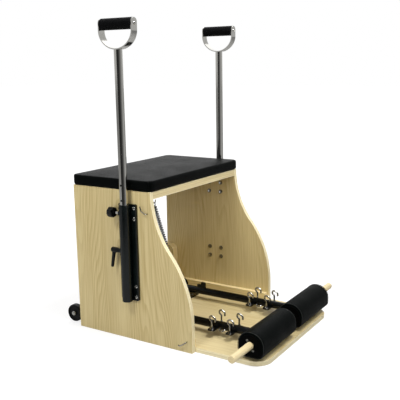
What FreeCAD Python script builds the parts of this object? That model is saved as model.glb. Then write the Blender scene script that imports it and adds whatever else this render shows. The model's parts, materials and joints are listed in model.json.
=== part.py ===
import FreeCAD, Part
import math
import os

# Split-pedal pilates chair with two height-adjustable D handles.
# Millimetres, +Z up, front towards -Y, origin on the floor in the middle of the plan.

# Side panels
inner_width = 616.0
panel_thickness = 20.0
panel_height = 600.0
seat_depth = 380.0
foot_depth = 556.0
foot_straight = 100.0
lower_curve_radius = 430.0
edge_round = 1.5

# Seat board and cushion
seat_board_thickness = 29.0
cushion_height = 46.0
cushion_corner = 14.0
cushion_roll = 24.0
cushion_crown_run = 110.0
cushion_gap = 0.3

# Base board, cleats, rear posts and lower back board
base_depth = 846.0
base_thickness = 19.0
base_corner = 64.0
cleat_thickness = 20.0
cleat_height = 28.5
cleat_front_margin = 8.0
post_thickness = 36.0
post_depth = 58.0
post_height = 194.0
post_round = 30.0
back_board_thickness = 20.0
back_board_height = 186.0

# Handle sleeves on the outer faces
handle_ahead = 277.0
handle_stand = 26.0
sleeve_radius = 20.0
sleeve_bore_radius = 17.5
sleeve_below_seat = 50.0
sleeve_length = 383.0
sleeve_plate_thickness = 9.0
sleeve_plate_half = 42.0
sleeve_plate_corner = 7.0
sleeve_rim_round = 2.0
sleeve_bolt_half = 30.0
sleeve_bolt_margin = 16.0
sleeve_bolt_pitch = 42.0
bush_length = 22.0
boss_radius = 10.0
boss_reach = 5.0
knob_drop = 35.0
lever_drop = 183.0

# Poles, straps and grips
pole_radius = 16.0
pole_wall = 2.0
pole_foot_rise = 123.0
grip_height = 1210.0
strap_half = 73.0
strap_depth = 86.0
strap_leg = 22.0
strap_corner = 56.0
strap_thickness = 4.0
strap_width = 32.0
strap_end_rise = 4.0
grip_radius = 21.0
grip_end_round = 3.0
grip_screw_depth = 20.0
index_hole_radius = 4.0
index_pitch = 58.0
index_above_sleeve = 75.0
index_count = 6

# Star knobs
knob_radius = 20.0
knob_length = 24.0
knob_edge_round = 3.0
knob_hub_radius = 13.0
knob_hub_length = 5.0
knob_flutes = 7
knob_flute_radius = 5.5
knob_flute_depth = 2.8
knob_stand = 24.0
knob_stem_radius = 6.0

# Clamp levers
lever_stem_radius = 5.0
lever_neck_radius = 6.5
lever_neck_length = 20.0
lever_hub_radius = 10.5
lever_hub_length = 22.0
lever_hub_round = 4.0
lever_drop_length = 66.0
lever_rake = 12.0
lever_root_radius = 7.5
lever_tip_radius = 6.0

# Pedals
pad_inner = 25.0
pad_past_panel = 2.0
pad_width = 107.0
pad_height = 98.0
pad_rise = 11.0
pad_front_margin = 1.5
pad_top_radius = 52.0
pad_bottom_radius = 20.0
pad_end_draw = 5.0
pad_crown = 1.5
core_width = 75.0
core_height = 64.0
core_round = 20.0
core_foam_below = 8.0
end_plate_inset = 11.0
end_plate_thickness = 3.0
plate_screw_circle = 21.0
plate_screw_angle = 33.0
dowel_radius = 14.0
dowel_reach = 135.0
dowel_depth = 105.0
dowel_round = 2.0
arm_inset = 12.0
arm_radius = 16.0
arm_wall = 2.5
arm_depth = 30.0
pivot_ahead = 163.0
pivot_height = 58.0
barrel_radius = 20.0
pivot_bolt_radius = 6.0
pivot_bush_wall = 4.0
pivot_bush_flange = 2.0
pivot_bush_length = 20.0
lug_ahead = 273.0
lug_length = 40.0
lug_height = 24.0
lug_step = 12.0
lug_thickness = 12.0
lug_round = 8.0
bar_first_ahead = 560.0
bar_pitch = 81.0
bar_length = 100.0
bar_width = 30.0
bar_thickness = 5.0
bar_corner = 8.0
bar_drop = 7.0

# Spring hooks and eyes on the pedal arms
hook_half = 37.0
hook_wire_radius = 3.6
hook_loop_radius = 9.5
hook_neck_radius = 8.0
hook_loop_height = 42.5
hook_run_fall = 30.0
hook_run = 9.0
hook_tip_bend = 7.0
hook_tip_length = 9.0
hook_collar_radius = 8.5
hook_collar_height = 9.0
hook_nut_height = 5.0
hook_end_past_nut = 2.0
eye_ahead = 596.0
eye_radius = 10.5
eye_wire_radius = 3.0
eye_reach = 3.5
eye_tilt = 22.0

# Pivot brackets
bracket_width = 99.0
bracket_front_ahead = 249.0
bracket_back_ahead = 118.0
bracket_plate = 5.0
bracket_corner = 6.0
ear_thickness = 5.0
ear_radius = 25.0
foot_screw_half = 16.0
foot_screw_inset = 16.0

# Transport wheels
wheel_radius = 36.5
wheel_width = 28.0
wheel_behind = 55.5
wheel_axle_height = 37.5
wheel_inset = 1.0
wheel_tread_round = 6.0
wheel_dish_inner = 14.0
wheel_dish_outer = 28.0
wheel_dish_depth = 3.0
axle_radius = 5.0
wheel_plate = 4.0
wheel_plate_nose = 17.0
wheel_flange_width = 44.0
wheel_flange_lift = 2.0
wheel_flange_height = 72.0

# Panel hooks
panel_hook_wire = 2.25
panel_hook_bend = 6.0
panel_hook_stand = 12.0
panel_hook_lean = 5.0
upper_hook_run = 21.3
upper_hook_rise = 10.4
upper_hook_tip = 17.8
upper_hook_margin = 13.4
upper_hook_drop = 82.3
lower_hook_run = 27.7
lower_hook_fall = 19.2
lower_hook_tip = 5.5
lower_hook_margin = 22.4
lower_hook_height = 43.6

# Parked spring on the inner face of the left panel
spring_turns = 54
spring_wire_radius = 2.1
spring_mean_radius = 8.6
spring_stand = 14.0
spring_top_margin = 10.0
spring_top_drop = 47.0
spring_bottom_margin = 24.0
spring_bottom_height = 62.0
spring_plug_length = 14.0
spring_ring_radius = 7.5
spring_ring_wire = 2.0
spring_peg_tip = 12.0

# Fasteners
bolt_radius = 4.0
bolt_head_radius = 7.0
bolt_head_height = 4.5
bolt_socket_radius = 3.5
nut_radius = 7.5
nut_height = 6.5
nut_flange_radius = 9.5
nut_flange = 2.0
bolt_past_nut = 1.5
screw_radius = 2.5
screw_head_radius = 5.0
screw_head_height = 3.0
screw_depth = 14.0
grip_screw_radius = 3.0
grip_screw_head = 7.0
grip_screw_head_height = 4.0
socket_radius = 3.2
socket_floor = 1.5
axle_head_radius = 10.0
axle_head_height = 8.0
pivot_head_radius = 11.0
pivot_head_height = 7.0

# Rubber stops under the pads
stop_radius = 15.0
stop_half = 90.0

# Fits
running_gap = 0.05
hole_gap = 0.1
seat_gap = 0.3
side_gap = 0.5
cut_overrun = 2.0

# Hand-chosen shares of the cushion's height, of its roll and of its crown, bottom to top
cushion_rise_shares = (0.0, 0.06, 0.16, 0.32, 0.52, 0.67, 0.78, 0.865, 0.92, 0.95, 0.97, 0.99, 1.0)
cushion_roll_shares = (0.26, 0.12, 0.04, 0.0, 0.0, 0.05, 0.16, 0.36, 0.66, 1.0, 1.0, 1.0, 1.0)
cushion_crown_shares = (0.0, 0.0, 0.0, 0.0, 0.0, 0.0, 0.0, 0.0, 0.0, 0.0, 0.2, 0.55, 1.0)
# Shares of a pad's length, end draw and crown, from one end to its middle
pad_station_shares = (0.0, 0.005, 0.017, 0.045, 0.15, 0.3, 0.5)
pad_draw_shares = (1.0, 0.55, 0.2, 0.0, 0.0, 0.0, 0.0)
pad_crown_shares = (0.0, 0.0, 0.0, 0.0, 0.5, 0.85, 1.0)

# Places worked out from the sizes above
half_inner = inner_width / 2
outer_x = half_inner + panel_thickness
wheel_overhang = wheel_behind + wheel_radius
rear_y = (base_depth + wheel_overhang) / 2 - wheel_overhang
handle_x = outer_x + handle_stand
sleeve_top = panel_height - sleeve_below_seat
sleeve_bottom = sleeve_top - sleeve_length
pole_bottom = sleeve_bottom + pole_foot_rise
index_first = sleeve_top + index_above_sleeve
upper_hook_height = panel_height - upper_hook_drop
spring_top_height = panel_height - spring_top_drop
strap_outer_half = strap_half + strap_thickness
strap_bow = strap_depth - strap_leg
strap_corner_offset = strap_half - strap_corner
strap_corner_span = strap_corner_offset ** 2 + strap_bow ** 2 - strap_corner ** 2
strap_bottom_radius = strap_corner_span / (2 * (strap_bow - strap_corner))
strap_bottom_centre = grip_height - strap_depth + strap_bottom_radius
pad_outer = half_inner + pad_past_panel
pad_length = pad_outer - pad_inner
arm_x = pad_inner + pad_length / 2 - arm_inset
pad_bottom = base_thickness + pad_rise
pad_ahead = base_depth - pad_front_margin - pad_width / 2
pad_middle = pad_bottom + pad_height / 2
core_bottom = pad_bottom + core_foam_below
bar_top = pivot_height - bar_drop + bar_thickness / 2
ear_gap = bracket_width - 2 * ear_thickness
barrel_length = ear_gap - 2 * (pivot_bush_flange + side_gap)
bush_radius = pivot_bolt_radius + running_gap + pivot_bush_wall
wheel_x = half_inner - wheel_inset - wheel_width / 2

X_AXIS = FreeCAD.Vector(1, 0, 0)
Y_AXIS = FreeCAD.Vector(0, 1, 0)
Z_AXIS = FreeCAD.Vector(0, 0, 1)
ORIGIN = FreeCAD.Vector(0, 0, 0)


def point(x, y, z):
    return FreeCAD.Vector(x, y, z)


def ahead(distance):
    """Y of a place that lies this far in front of the panels' rear edge."""
    return rear_y - distance


def box(x0, x1, y0, y1, z0, z1):
    """A block between two corners, given in any order on Y."""
    low_y = min(y0, y1)
    return Part.makeBox(x1 - x0, abs(y1 - y0), z1 - z0, point(x0, low_y, z0))


def rod(radius, start, end):
    """A round bar from one point to another."""
    along = end - start
    return Part.makeCylinder(radius, along.Length, start, along)


def mirrored(shape):
    return shape.mirror(ORIGIN, X_AXIS)


def both(shape):
    """The shape and its mirror image, as one group of solids."""
    return Part.Compound([shape, mirrored(shape)])


def write(name, shape):
    """Save one node."""
    shape.exportStep(os.path.join("parts", name + ".step"))


def write_pair(name, shape):
    """Save a node for the right side and its mirror image for the left side."""
    write(name + "_right", shape)
    write(name + "_left", mirrored(shape))


def edges_along(shape, axis):
    """The straight edges of a shape that run along an axis."""
    found = []
    for edge in shape.Edges:
        run = edge.Vertexes[-1].Point - edge.Vertexes[0].Point
        if run.Length > 0 and run.cross(axis).Length < run.Length * 1e-6:
            found.append(edge)
    return found


def edges_across(shape, axis):
    """The edges of a shape that lie in planes square to an axis."""
    found = []
    for edge in shape.Edges:
        bounds = edge.BoundBox
        span = point(bounds.XLength, bounds.YLength, bounds.ZLength).dot(axis)
        if span < edge.Length * 1e-3:
            found.append(edge)
    return found


def dome(radius, height, start, axis):
    """A button head: a spherical cap standing on a flat face."""
    ball = (radius * radius + height * height) / (2 * height)
    centre = start + axis * (height - ball)
    sphere = Part.makeSphere(ball, centre)
    return sphere.common(Part.makeCylinder(radius + height, ball, start, axis))


def hex_prism(radius, height, start, axis):
    """A hexagonal bar with its corners on the radius."""
    corners = []
    for step in range(7):
        angle = math.radians(60 * step)
        corners.append(point(radius * math.cos(angle), radius * math.sin(angle), 0))
    prism = Part.Face(Part.makePolygon(corners)).extrude(Z_AXIS * height)
    prism.Placement = FreeCAD.Placement(start, FreeCAD.Rotation(Z_AXIS, axis))
    return prism


def hex_ring(radius, height, bore, start, axis):
    """A hexagon nut with its corners on the radius."""
    return hex_prism(radius, height, start, axis).cut(Part.makeCylinder(bore, height, start, axis))


def arc_edge(first, middle, last):
    return Part.Arc(first, middle, last).toShape()


def line_edge(first, last):
    return Part.LineSegment(first, last).toShape()


def sweep(edges, radius):
    """A round wire along a tangent chain of lines and arcs."""
    path = Part.Wire(edges)
    start = edges[0].valueAt(edges[0].FirstParameter)
    heading = edges[0].tangentAt(edges[0].FirstParameter)
    profile = Part.Wire([Part.makeCircle(radius, start, heading)])
    return Part.Solid(path.makePipeShell([profile], True, False))


def bent_wire(points, bend, radius):
    """A round wire through points, with every corner bent to one radius."""
    edges = []
    last = points[0]
    for before, corner, after in zip(points, points[1:], points[2:]):
        back = (before - corner).normalize()
        forth = (after - corner).normalize()
        half = back.getAngle(forth) / 2
        setback = bend / math.tan(half)
        start = corner + back * setback
        end = corner + forth * setback
        inward = (back + forth).normalize()
        middle = corner + inward * (bend / math.sin(half) - bend)
        edges.append(line_edge(last, start))
        edges.append(arc_edge(start, middle, end))
        last = end
    edges.append(line_edge(last, points[-1]))
    return sweep(edges, radius)


def sleeve_bolt_places():
    """Y and Z of the bolts through one sleeve plate."""
    places = []
    heights = []
    for step in range(2):
        heights.append(sleeve_bottom + sleeve_bolt_margin + step * sleeve_bolt_pitch)
        heights.append(sleeve_top - sleeve_bolt_margin - step * sleeve_bolt_pitch)
    for height in heights:
        for side in (-1, 1):
            places.append((ahead(handle_ahead) + side * sleeve_bolt_half, height))
    return places


def side_panel():
    """Right panel: an upright board whose front edge is an S of two tangent arcs."""
    shift = foot_depth - seat_depth
    rise = panel_height - foot_straight
    upper_radius = (shift * shift + rise * rise) / (2 * shift) - lower_curve_radius
    sweep_angle = 2 * math.atan2(shift, rise)
    foot_y = ahead(foot_depth)
    top_y = ahead(seat_depth)

    def lower(angle):
        reach = lower_curve_radius * (1 - math.cos(angle))
        return point(half_inner, foot_y + reach, foot_straight + lower_curve_radius * math.sin(angle))

    def upper(angle):
        reach = upper_radius * (1 - math.cos(angle))
        return point(half_inner, top_y - reach, panel_height - upper_radius * math.sin(angle))

    floor_rear = point(half_inner, rear_y, 0)
    floor_front = point(half_inner, foot_y, 0)
    top_rear = point(half_inner, rear_y, panel_height)
    outline = Part.Wire([
        line_edge(floor_rear, floor_front),
        line_edge(floor_front, lower(0)),
        arc_edge(lower(0), lower(sweep_angle / 2), lower(sweep_angle)),
        arc_edge(lower(sweep_angle), upper(sweep_angle / 2), upper(0)),
        line_edge(upper(0), top_rear),
        line_edge(top_rear, floor_rear),
    ])
    panel = Part.Face(outline).extrude(X_AXIS * panel_thickness)
    panel = panel.makeFillet(edge_round, edges_across(panel, X_AXIS))
    for y, z in sleeve_bolt_places():
        start = point(half_inner - cut_overrun, y, z)
        end = point(outer_x + cut_overrun, y, z)
        panel = panel.cut(rod(bolt_radius + hole_gap, start, end))
    return panel


def seat_board():
    """Board under the cushion, let in between the panels."""
    low = panel_height - seat_board_thickness
    board = box(-half_inner, half_inner, ahead(seat_depth), rear_y, low, panel_height)
    front = [edge for edge in edges_along(board, X_AXIS) if edge.CenterOfMass.y < ahead(seat_depth / 2)]
    return board.makeFillet(edge_round, front)


def rounded_rectangle(x0, x1, y0, y1, z, radius):
    """A level outline of four lines and four quarter arcs."""
    diagonal = radius * (1 - math.sqrt(0.5))
    edges = []
    corners = ((x1, y0, -1, 1), (x1, y1, -1, -1), (x0, y1, 1, -1), (x0, y0, 1, 1))
    last = point(x0 + radius, y0, z)
    for turn, (x, y, inward_x, inward_y) in enumerate(corners):
        along_x = point(x + inward_x * radius, y, z)
        along_y = point(x, y + inward_y * radius, z)
        start, end = (along_x, along_y) if turn % 2 == 0 else (along_y, along_x)
        middle = point(x + inward_x * diagonal, y + inward_y * diagonal, z)
        edges.append(line_edge(last, start))
        edges.append(arc_edge(start, middle, end))
        last = end
    return Part.Wire(edges)


def seat_cushion():
    """Cushion with drawn-in sides, a rolled rim and a low crown."""
    floor = panel_height + cushion_gap
    sections = []
    for rise, roll, crown in zip(cushion_rise_shares, cushion_roll_shares, cushion_crown_shares):
        rolled = roll * cushion_roll
        inset = rolled + crown * cushion_crown_run
        sections.append(rounded_rectangle(
            inset - outer_x, outer_x - inset, ahead(seat_depth) + inset, rear_y - inset,
            floor + rise * cushion_height, cushion_corner + rolled))
    return Part.makeLoft(sections, True, True)


def foot_screw_places():
    """X and Y of the screws through one pivot bracket's foot."""
    front = ahead(bracket_front_ahead - foot_screw_inset)
    back = ahead(bracket_back_ahead + foot_screw_inset)
    return [(arm_x + side * foot_screw_half, y) for side in (-1, 1) for y in (front, back)]


def base_board():
    """Floor board between the panels, running out in front with rounded corners."""
    board = box(-half_inner, half_inner, ahead(base_depth), rear_y, 0, base_thickness)
    front = [edge for edge in edges_along(board, Z_AXIS) if edge.CenterOfMass.y < 0]
    board = board.makeFillet(base_corner, front)
    rim = [edge for edge in edges_across(board, Z_AXIS) if edge.BoundBox.YMin < ahead(foot_depth)]
    board = board.makeFillet(edge_round, rim)
    for x, y in foot_screw_places():
        start = point(x, y, base_thickness - screw_depth - cut_overrun)
        hole = rod(screw_radius + hole_gap, start, point(x, y, base_thickness + cut_overrun))
        board = board.cut(both(hole))
    return board


def base_cleat():
    """Batten in the corner of the base and the right panel."""
    front = ahead(foot_depth - cleat_front_margin)
    cleat = box(half_inner - cleat_thickness, half_inner, front, ahead(post_depth),
                base_thickness, base_thickness + cleat_height)
    inner = [edge for edge in edges_along(cleat, Y_AXIS)
             if edge.CenterOfMass.x < half_inner - cleat_thickness / 2
             and edge.CenterOfMass.z > base_thickness + cleat_height / 2]
    return cleat.makeFillet(edge_round, inner)


def rear_post():
    """Upright at the rear of the right panel, rounded over at its front top."""
    post = box(half_inner - post_thickness, half_inner, ahead(post_depth), rear_y,
               base_thickness, base_thickness + post_height)
    shoulder = [edge for edge in edges_along(post, X_AXIS)
                if edge.CenterOfMass.y < ahead(post_depth / 2)
                and edge.CenterOfMass.z > base_thickness + post_height / 2]
    return post.makeFillet(post_round, shoulder)


def wheel_flange_middle():
    """X of the middle of a wheel bracket's flange."""
    return wheel_x - wheel_width / 2 - side_gap - wheel_flange_width / 2


def flange_screw_heights():
    """Heights of the screws through a wheel bracket's flange."""
    low = base_thickness + wheel_flange_lift
    return (low + foot_screw_inset, low + wheel_flange_height - foot_screw_inset)


def lower_back_board():
    """Board between the rear posts."""
    half = half_inner - post_thickness
    board = box(-half, half, ahead(back_board_thickness), rear_y,
                base_thickness, base_thickness + back_board_height)
    top = [edge for edge in edges_along(board, X_AXIS)
           if edge.CenterOfMass.z > base_thickness + back_board_height / 2]
    board = board.makeFillet(edge_round, top)
    for height in flange_screw_heights():
        start = point(wheel_flange_middle(), ahead(screw_depth + cut_overrun), height)
        end = point(wheel_flange_middle(), rear_y + cut_overrun, height)
        board = board.cut(both(rod(screw_radius + hole_gap, start, end)))
    return board


def knob_axis_height():
    return sleeve_top - knob_drop


def lever_axis_height():
    return sleeve_top - lever_drop


def handle_sleeve():
    """Black sleeve: a bolted plate, a tube and two threaded bosses on its rear side."""
    y = ahead(handle_ahead)
    plate = box(outer_x, outer_x + sleeve_plate_thickness, y - sleeve_plate_half, y + sleeve_plate_half,
                sleeve_bottom, sleeve_top)
    plate = plate.makeFillet(sleeve_plate_corner, edges_along(plate, X_AXIS))
    foot = point(handle_x, y, sleeve_bottom)
    tube = Part.makeCylinder(sleeve_radius, sleeve_length, foot)
    tube = tube.makeFillet(sleeve_rim_round, edges_across(tube, Z_AXIS))
    sleeve = plate.fuse(tube)
    for height in (knob_axis_height(), lever_axis_height()):
        start = point(handle_x, y, height)
        sleeve = sleeve.fuse(Part.makeCylinder(boss_radius, sleeve_radius + boss_reach, start, Y_AXIS))
    sleeve = sleeve.cut(Part.makeCylinder(sleeve_bore_radius, sleeve_length, foot))
    for height, radius in ((knob_axis_height(), knob_stem_radius), (lever_axis_height(), lever_stem_radius)):
        reach = sleeve_radius + boss_reach + cut_overrun
        bore = Part.makeCylinder(radius + running_gap, reach, point(handle_x, y, height), Y_AXIS)
        sleeve = sleeve.cut(bore)
    for bolt_y, bolt_z in sleeve_bolt_places():
        start = point(outer_x - cut_overrun, bolt_y, bolt_z)
        end = point(outer_x + sleeve_plate_thickness + cut_overrun, bolt_y, bolt_z)
        sleeve = sleeve.cut(rod(bolt_radius + hole_gap, start, end))
    return sleeve.removeSplitter()


def sleeve_bushes():
    """Guide bushes at the two ends of one sleeve."""
    y = ahead(handle_ahead)
    rings = []
    for height in (sleeve_bottom, sleeve_top - bush_length):
        foot = point(handle_x, y, height)
        ring = Part.makeCylinder(sleeve_bore_radius - running_gap, bush_length, foot)
        rings.append(ring.cut(Part.makeCylinder(pole_radius + running_gap, bush_length, foot)))
    return Part.Compound(rings)


def sleeve_bolts():
    """Button-head socket bolts through one sleeve plate and its panel."""
    bolts = []
    seat = outer_x + sleeve_plate_thickness
    tail = half_inner - nut_height - bolt_past_nut
    for y, z in sleeve_bolt_places():
        head = dome(bolt_head_radius, bolt_head_height, point(seat, y, z), X_AXIS)
        socket_start = point(seat + socket_floor, y, z)
        head = head.cut(hex_prism(bolt_socket_radius, bolt_head_height, socket_start, X_AXIS))
        bolts.append(head.fuse(rod(bolt_radius, point(tail, y, z), point(seat, y, z))))
    return Part.Compound(bolts)


def sleeve_nuts():
    """Flange nuts on the inner face of one panel."""
    nuts = []
    for y, z in sleeve_bolt_places():
        start = point(half_inner, y, z)
        nut = hex_ring(nut_radius, nut_height, bolt_radius + running_gap, start, -X_AXIS)
        flange = Part.makeCylinder(nut_flange_radius, nut_flange, start, -X_AXIS)
        flange = flange.cut(Part.makeCylinder(bolt_radius + running_gap, nut_flange, start, -X_AXIS))
        nuts.append(nut.fuse(flange).removeSplitter())
    return Part.Compound(nuts)


def pole():
    """Bright pole, coped to the strap at its top, with index holes on its outer side."""
    y = ahead(handle_ahead)
    top = grip_height - strap_depth
    foot = point(handle_x, y, pole_bottom)
    tube = Part.makeCylinder(pole_radius, top - pole_bottom, foot)
    tube = tube.cut(Part.makeCylinder(pole_radius - pole_wall, top - pole_bottom, foot))
    saddle_start = point(handle_x - strap_width, y, strap_bottom_centre)
    saddle_radius = strap_bottom_radius + strap_thickness
    saddle = Part.makeCylinder(saddle_radius, 2 * strap_width, saddle_start, X_AXIS)
    tube = tube.cut(saddle)
    for step in range(index_count):
        start = point(handle_x, y, index_first - step * index_pitch)
        tube = tube.cut(Part.makeCylinder(index_hole_radius, pole_radius + cut_overrun, start, X_AXIS))
    return tube


def strap_line(offset, top):
    """One edge of the bent strap, down one leg, round three arcs and up the other leg."""
    x = handle_x - strap_width / 2
    y = ahead(handle_ahead)
    low = grip_height - strap_leg
    bottom = point(x, y, strap_bottom_centre)
    corners = [point(x, y + side * strap_corner_offset, low) for side in (-1, 1)]
    leans = [(corner - bottom).normalize() for corner in corners]
    joints = [bottom + lean * (strap_bottom_radius + offset) for lean in leans]
    edges = [arc_edge(joints[0], bottom - Z_AXIS * (strap_bottom_radius + offset), joints[1])]
    for side, corner, lean, joint in zip((-1, 1), corners, leans, joints):
        outward = Y_AXIS * side
        middle = corner + (lean + outward).normalize() * (strap_corner + offset)
        leg_foot = corner + outward * (strap_corner + offset)
        edges.append(arc_edge(joint, middle, leg_foot))
        edges.append(line_edge(leg_foot, point(x, leg_foot.y, top)))
    return edges


def handle_strap():
    """Flat bar bent to a U, with round ends that hold the grip."""
    y = ahead(handle_ahead)
    x = handle_x - strap_width / 2
    end_radius = strap_width / 2
    end_height = grip_height + strap_end_rise
    top = end_height + end_radius
    edges = strap_line(0, top) + strap_line(strap_thickness, top)
    for side in (-1, 1):
        edges.append(line_edge(point(x, y + side * strap_half, top), point(x, y + side * strap_outer_half, top)))
    outline = Part.Wire(Part.__sortEdges__(edges))
    bar = Part.Face(outline).extrude(X_AXIS * strap_width)
    low = grip_height - strap_depth - strap_thickness - cut_overrun
    start_y = y - strap_outer_half - cut_overrun
    span = 2 * (strap_outer_half + cut_overrun)
    shape = box(x, x + strap_width, start_y, start_y + span, low, end_height)
    shape = shape.fuse(Part.makeCylinder(end_radius, span, point(handle_x, start_y, end_height), Y_AXIS))
    bar = bar.common(shape.removeSplitter())
    hole = Part.makeCylinder(grip_screw_radius + hole_gap, span, point(handle_x, start_y, grip_height), Y_AXIS)
    return bar.cut(hole).removeSplitter()


def handle_grip():
    """Round grip between the strap's ends."""
    half = strap_half - seat_gap
    start = point(handle_x, ahead(handle_ahead) - half, grip_height)
    grip = Part.makeCylinder(grip_radius, 2 * half, start, Y_AXIS)
    grip = grip.makeFillet(grip_end_round, edges_across(grip, Y_AXIS))
    for side in (-1, 1):
        end = point(handle_x, ahead(handle_ahead) + side * half, grip_height)
        depth = grip_screw_depth + cut_overrun
        grip = grip.cut(Part.makeCylinder(grip_screw_radius + hole_gap, depth, end, Y_AXIS * -side))
    return grip


def grip_screws():
    """Button-head screws through the strap's ends into the grip."""
    screws = []
    for side in (-1, 1):
        seat = point(handle_x, ahead(handle_ahead) + side * strap_outer_half, grip_height)
        head = dome(grip_screw_head, grip_screw_head_height, seat, Y_AXIS * side)
        head = head.cut(hex_prism(socket_radius, grip_screw_head_height, seat + Y_AXIS * (side * socket_floor),
                                  Y_AXIS * side))
        shank = grip_screw_depth + strap_thickness
        screws.append(head.fuse(Part.makeCylinder(grip_screw_radius, shank, seat, Y_AXIS * -side)))
    return Part.Compound(screws)


def star_knob():
    """Fluted knob that tightens a screw against the pole."""
    y = ahead(handle_ahead) + sleeve_radius + knob_stand
    hub_start = point(handle_x, y, knob_axis_height())
    body_start = hub_start + Y_AXIS * knob_hub_length
    body = Part.makeCylinder(knob_radius, knob_length, body_start, Y_AXIS)
    body = body.makeFillet(knob_edge_round, edges_across(body, Y_AXIS))
    reach = knob_radius + knob_flute_radius - knob_flute_depth
    for step in range(knob_flutes):
        angle = 2 * math.pi * step / knob_flutes
        start = body_start + point(reach * math.cos(angle), 0, reach * math.sin(angle))
        body = body.cut(Part.makeCylinder(knob_flute_radius, knob_length, start, Y_AXIS))
    hub = Part.makeCylinder(knob_hub_radius, knob_hub_length, hub_start, Y_AXIS)
    depth = knob_hub_length + knob_length / 2
    socket = Part.makeCylinder(knob_stem_radius + running_gap, depth, hub_start, Y_AXIS)
    return body.fuse(hub).cut(socket)


def star_knob_stem():
    """Threaded rod of the star knob, ending just short of the pole."""
    y = ahead(handle_ahead)
    start = y + pole_radius + seat_gap
    end = y + sleeve_radius + knob_stand + knob_hub_length + knob_length / 2
    z = knob_axis_height()
    return rod(knob_stem_radius, point(handle_x, start, z), point(handle_x, end, z))


def clamp_lever():
    """L-shaped clamp lever with its stem, hanging down."""
    y = ahead(handle_ahead)
    z = lever_axis_height()
    start = point(handle_x, y + pole_radius + seat_gap, z)
    neck = point(handle_x, y + sleeve_radius + boss_reach + seat_gap, z)
    hub_start = neck + Y_AXIS * lever_neck_length
    hub = Part.makeCylinder(lever_hub_radius, lever_hub_length, hub_start, Y_AXIS)
    rear_rim = [edge for edge in edges_across(hub, Y_AXIS) if edge.CenterOfMass.y > hub_start.y]
    hub = hub.makeFillet(lever_hub_round, rear_rim)
    lever = hub.fuse(rod(lever_stem_radius, start, hub_start))
    cone = Part.makeCone(lever_neck_radius, lever_hub_radius, lever_neck_length, neck, Y_AXIS)
    lever = lever.fuse(cone)
    root = hub_start + Y_AXIS * (lever_hub_length / 2)
    tip = root + point(0, lever_rake, -lever_drop_length)
    along = tip - root
    lever = lever.fuse(Part.makeCone(lever_root_radius, lever_tip_radius, along.Length, root, along))
    return lever.fuse(Part.makeSphere(lever_tip_radius, tip))


def pedal_bar(step):
    """One flat cross bar of a pedal arm."""
    y = ahead(bar_first_ahead + step * bar_pitch)
    bar = box(arm_x - bar_length / 2, arm_x + bar_length / 2, y - bar_width / 2, y + bar_width / 2,
              bar_top - bar_thickness, bar_top)
    bar = bar.makeFillet(bar_corner, edges_along(bar, Z_AXIS))
    for side in (-1, 1):
        foot = point(arm_x + side * hook_half, y, bar_top - bar_thickness - cut_overrun)
        bar = bar.cut(Part.makeCylinder(hook_wire_radius + running_gap, bar_thickness + 2 * cut_overrun, foot))
    return bar


def pedal_crossbars():
    return Part.Compound([pedal_bar(step) for step in range(2)])


def arm_lug():
    """Stepped lug that stands on the arm near its pivot."""
    x = arm_x - lug_thickness / 2
    foot = pivot_height + arm_radius / 2
    crest = pivot_height + arm_radius + lug_height
    step = pivot_height + arm_radius + lug_step
    rear = ahead(lug_ahead)
    shoulder = ahead(lug_ahead + lug_length / 2)
    front = ahead(lug_ahead + lug_length)
    tall = box(x, x + lug_thickness, front, shoulder, foot, crest)
    nose = [edge for edge in edges_along(tall, X_AXIS)
            if edge.CenterOfMass.z > step and edge.CenterOfMass.y < (front + shoulder) / 2]
    tall = tall.makeFillet(lug_round, nose)
    return tall.fuse(box(x, x + lug_thickness, shoulder, rear, foot, step))


def pedal_arm():
    """Welded arm: pivot barrel, tube, stepped lug and slots for the cross bars."""
    pivot = point(arm_x, ahead(pivot_ahead), pivot_height)
    end_y = ahead(pad_ahead) + core_width / 2 - arm_depth
    tube = rod(arm_radius, pivot, point(arm_x, end_y, pivot_height))
    barrel_start = pivot - X_AXIS * (barrel_length / 2)
    barrel = Part.makeCylinder(barrel_radius, barrel_length, barrel_start, X_AXIS)
    arm = barrel.fuse(tube).fuse(arm_lug())
    bore_start = point(arm_x, ahead(pivot_ahead) - barrel_radius, pivot_height)
    arm = arm.cut(rod(arm_radius - arm_wall, bore_start, point(arm_x, end_y - cut_overrun, pivot_height)))
    arm = arm.cut(Part.makeCylinder(bush_radius + running_gap, barrel_length, barrel_start, X_AXIS))
    for step in range(2):
        arm = arm.cut(pedal_bar(step))
    return arm.removeSplitter()


def pivot_bushes():
    """Flanged bushes in the two ends of one arm's barrel."""
    bushes = []
    for side in (-1, 1):
        face = point(arm_x + side * barrel_length / 2, ahead(pivot_ahead), pivot_height)
        bush = Part.makeCylinder(bush_radius, pivot_bush_length, face, X_AXIS * -side)
        bush = bush.fuse(Part.makeCylinder(barrel_radius - side_gap, pivot_bush_flange, face, X_AXIS * side))
        start = face + X_AXIS * (side * pivot_bush_flange)
        bore_length = pivot_bush_length + pivot_bush_flange
        bore = Part.makeCylinder(pivot_bolt_radius + running_gap, bore_length, start, X_AXIS * -side)
        bushes.append(bush.cut(bore))
    return Part.Compound(bushes)


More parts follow.
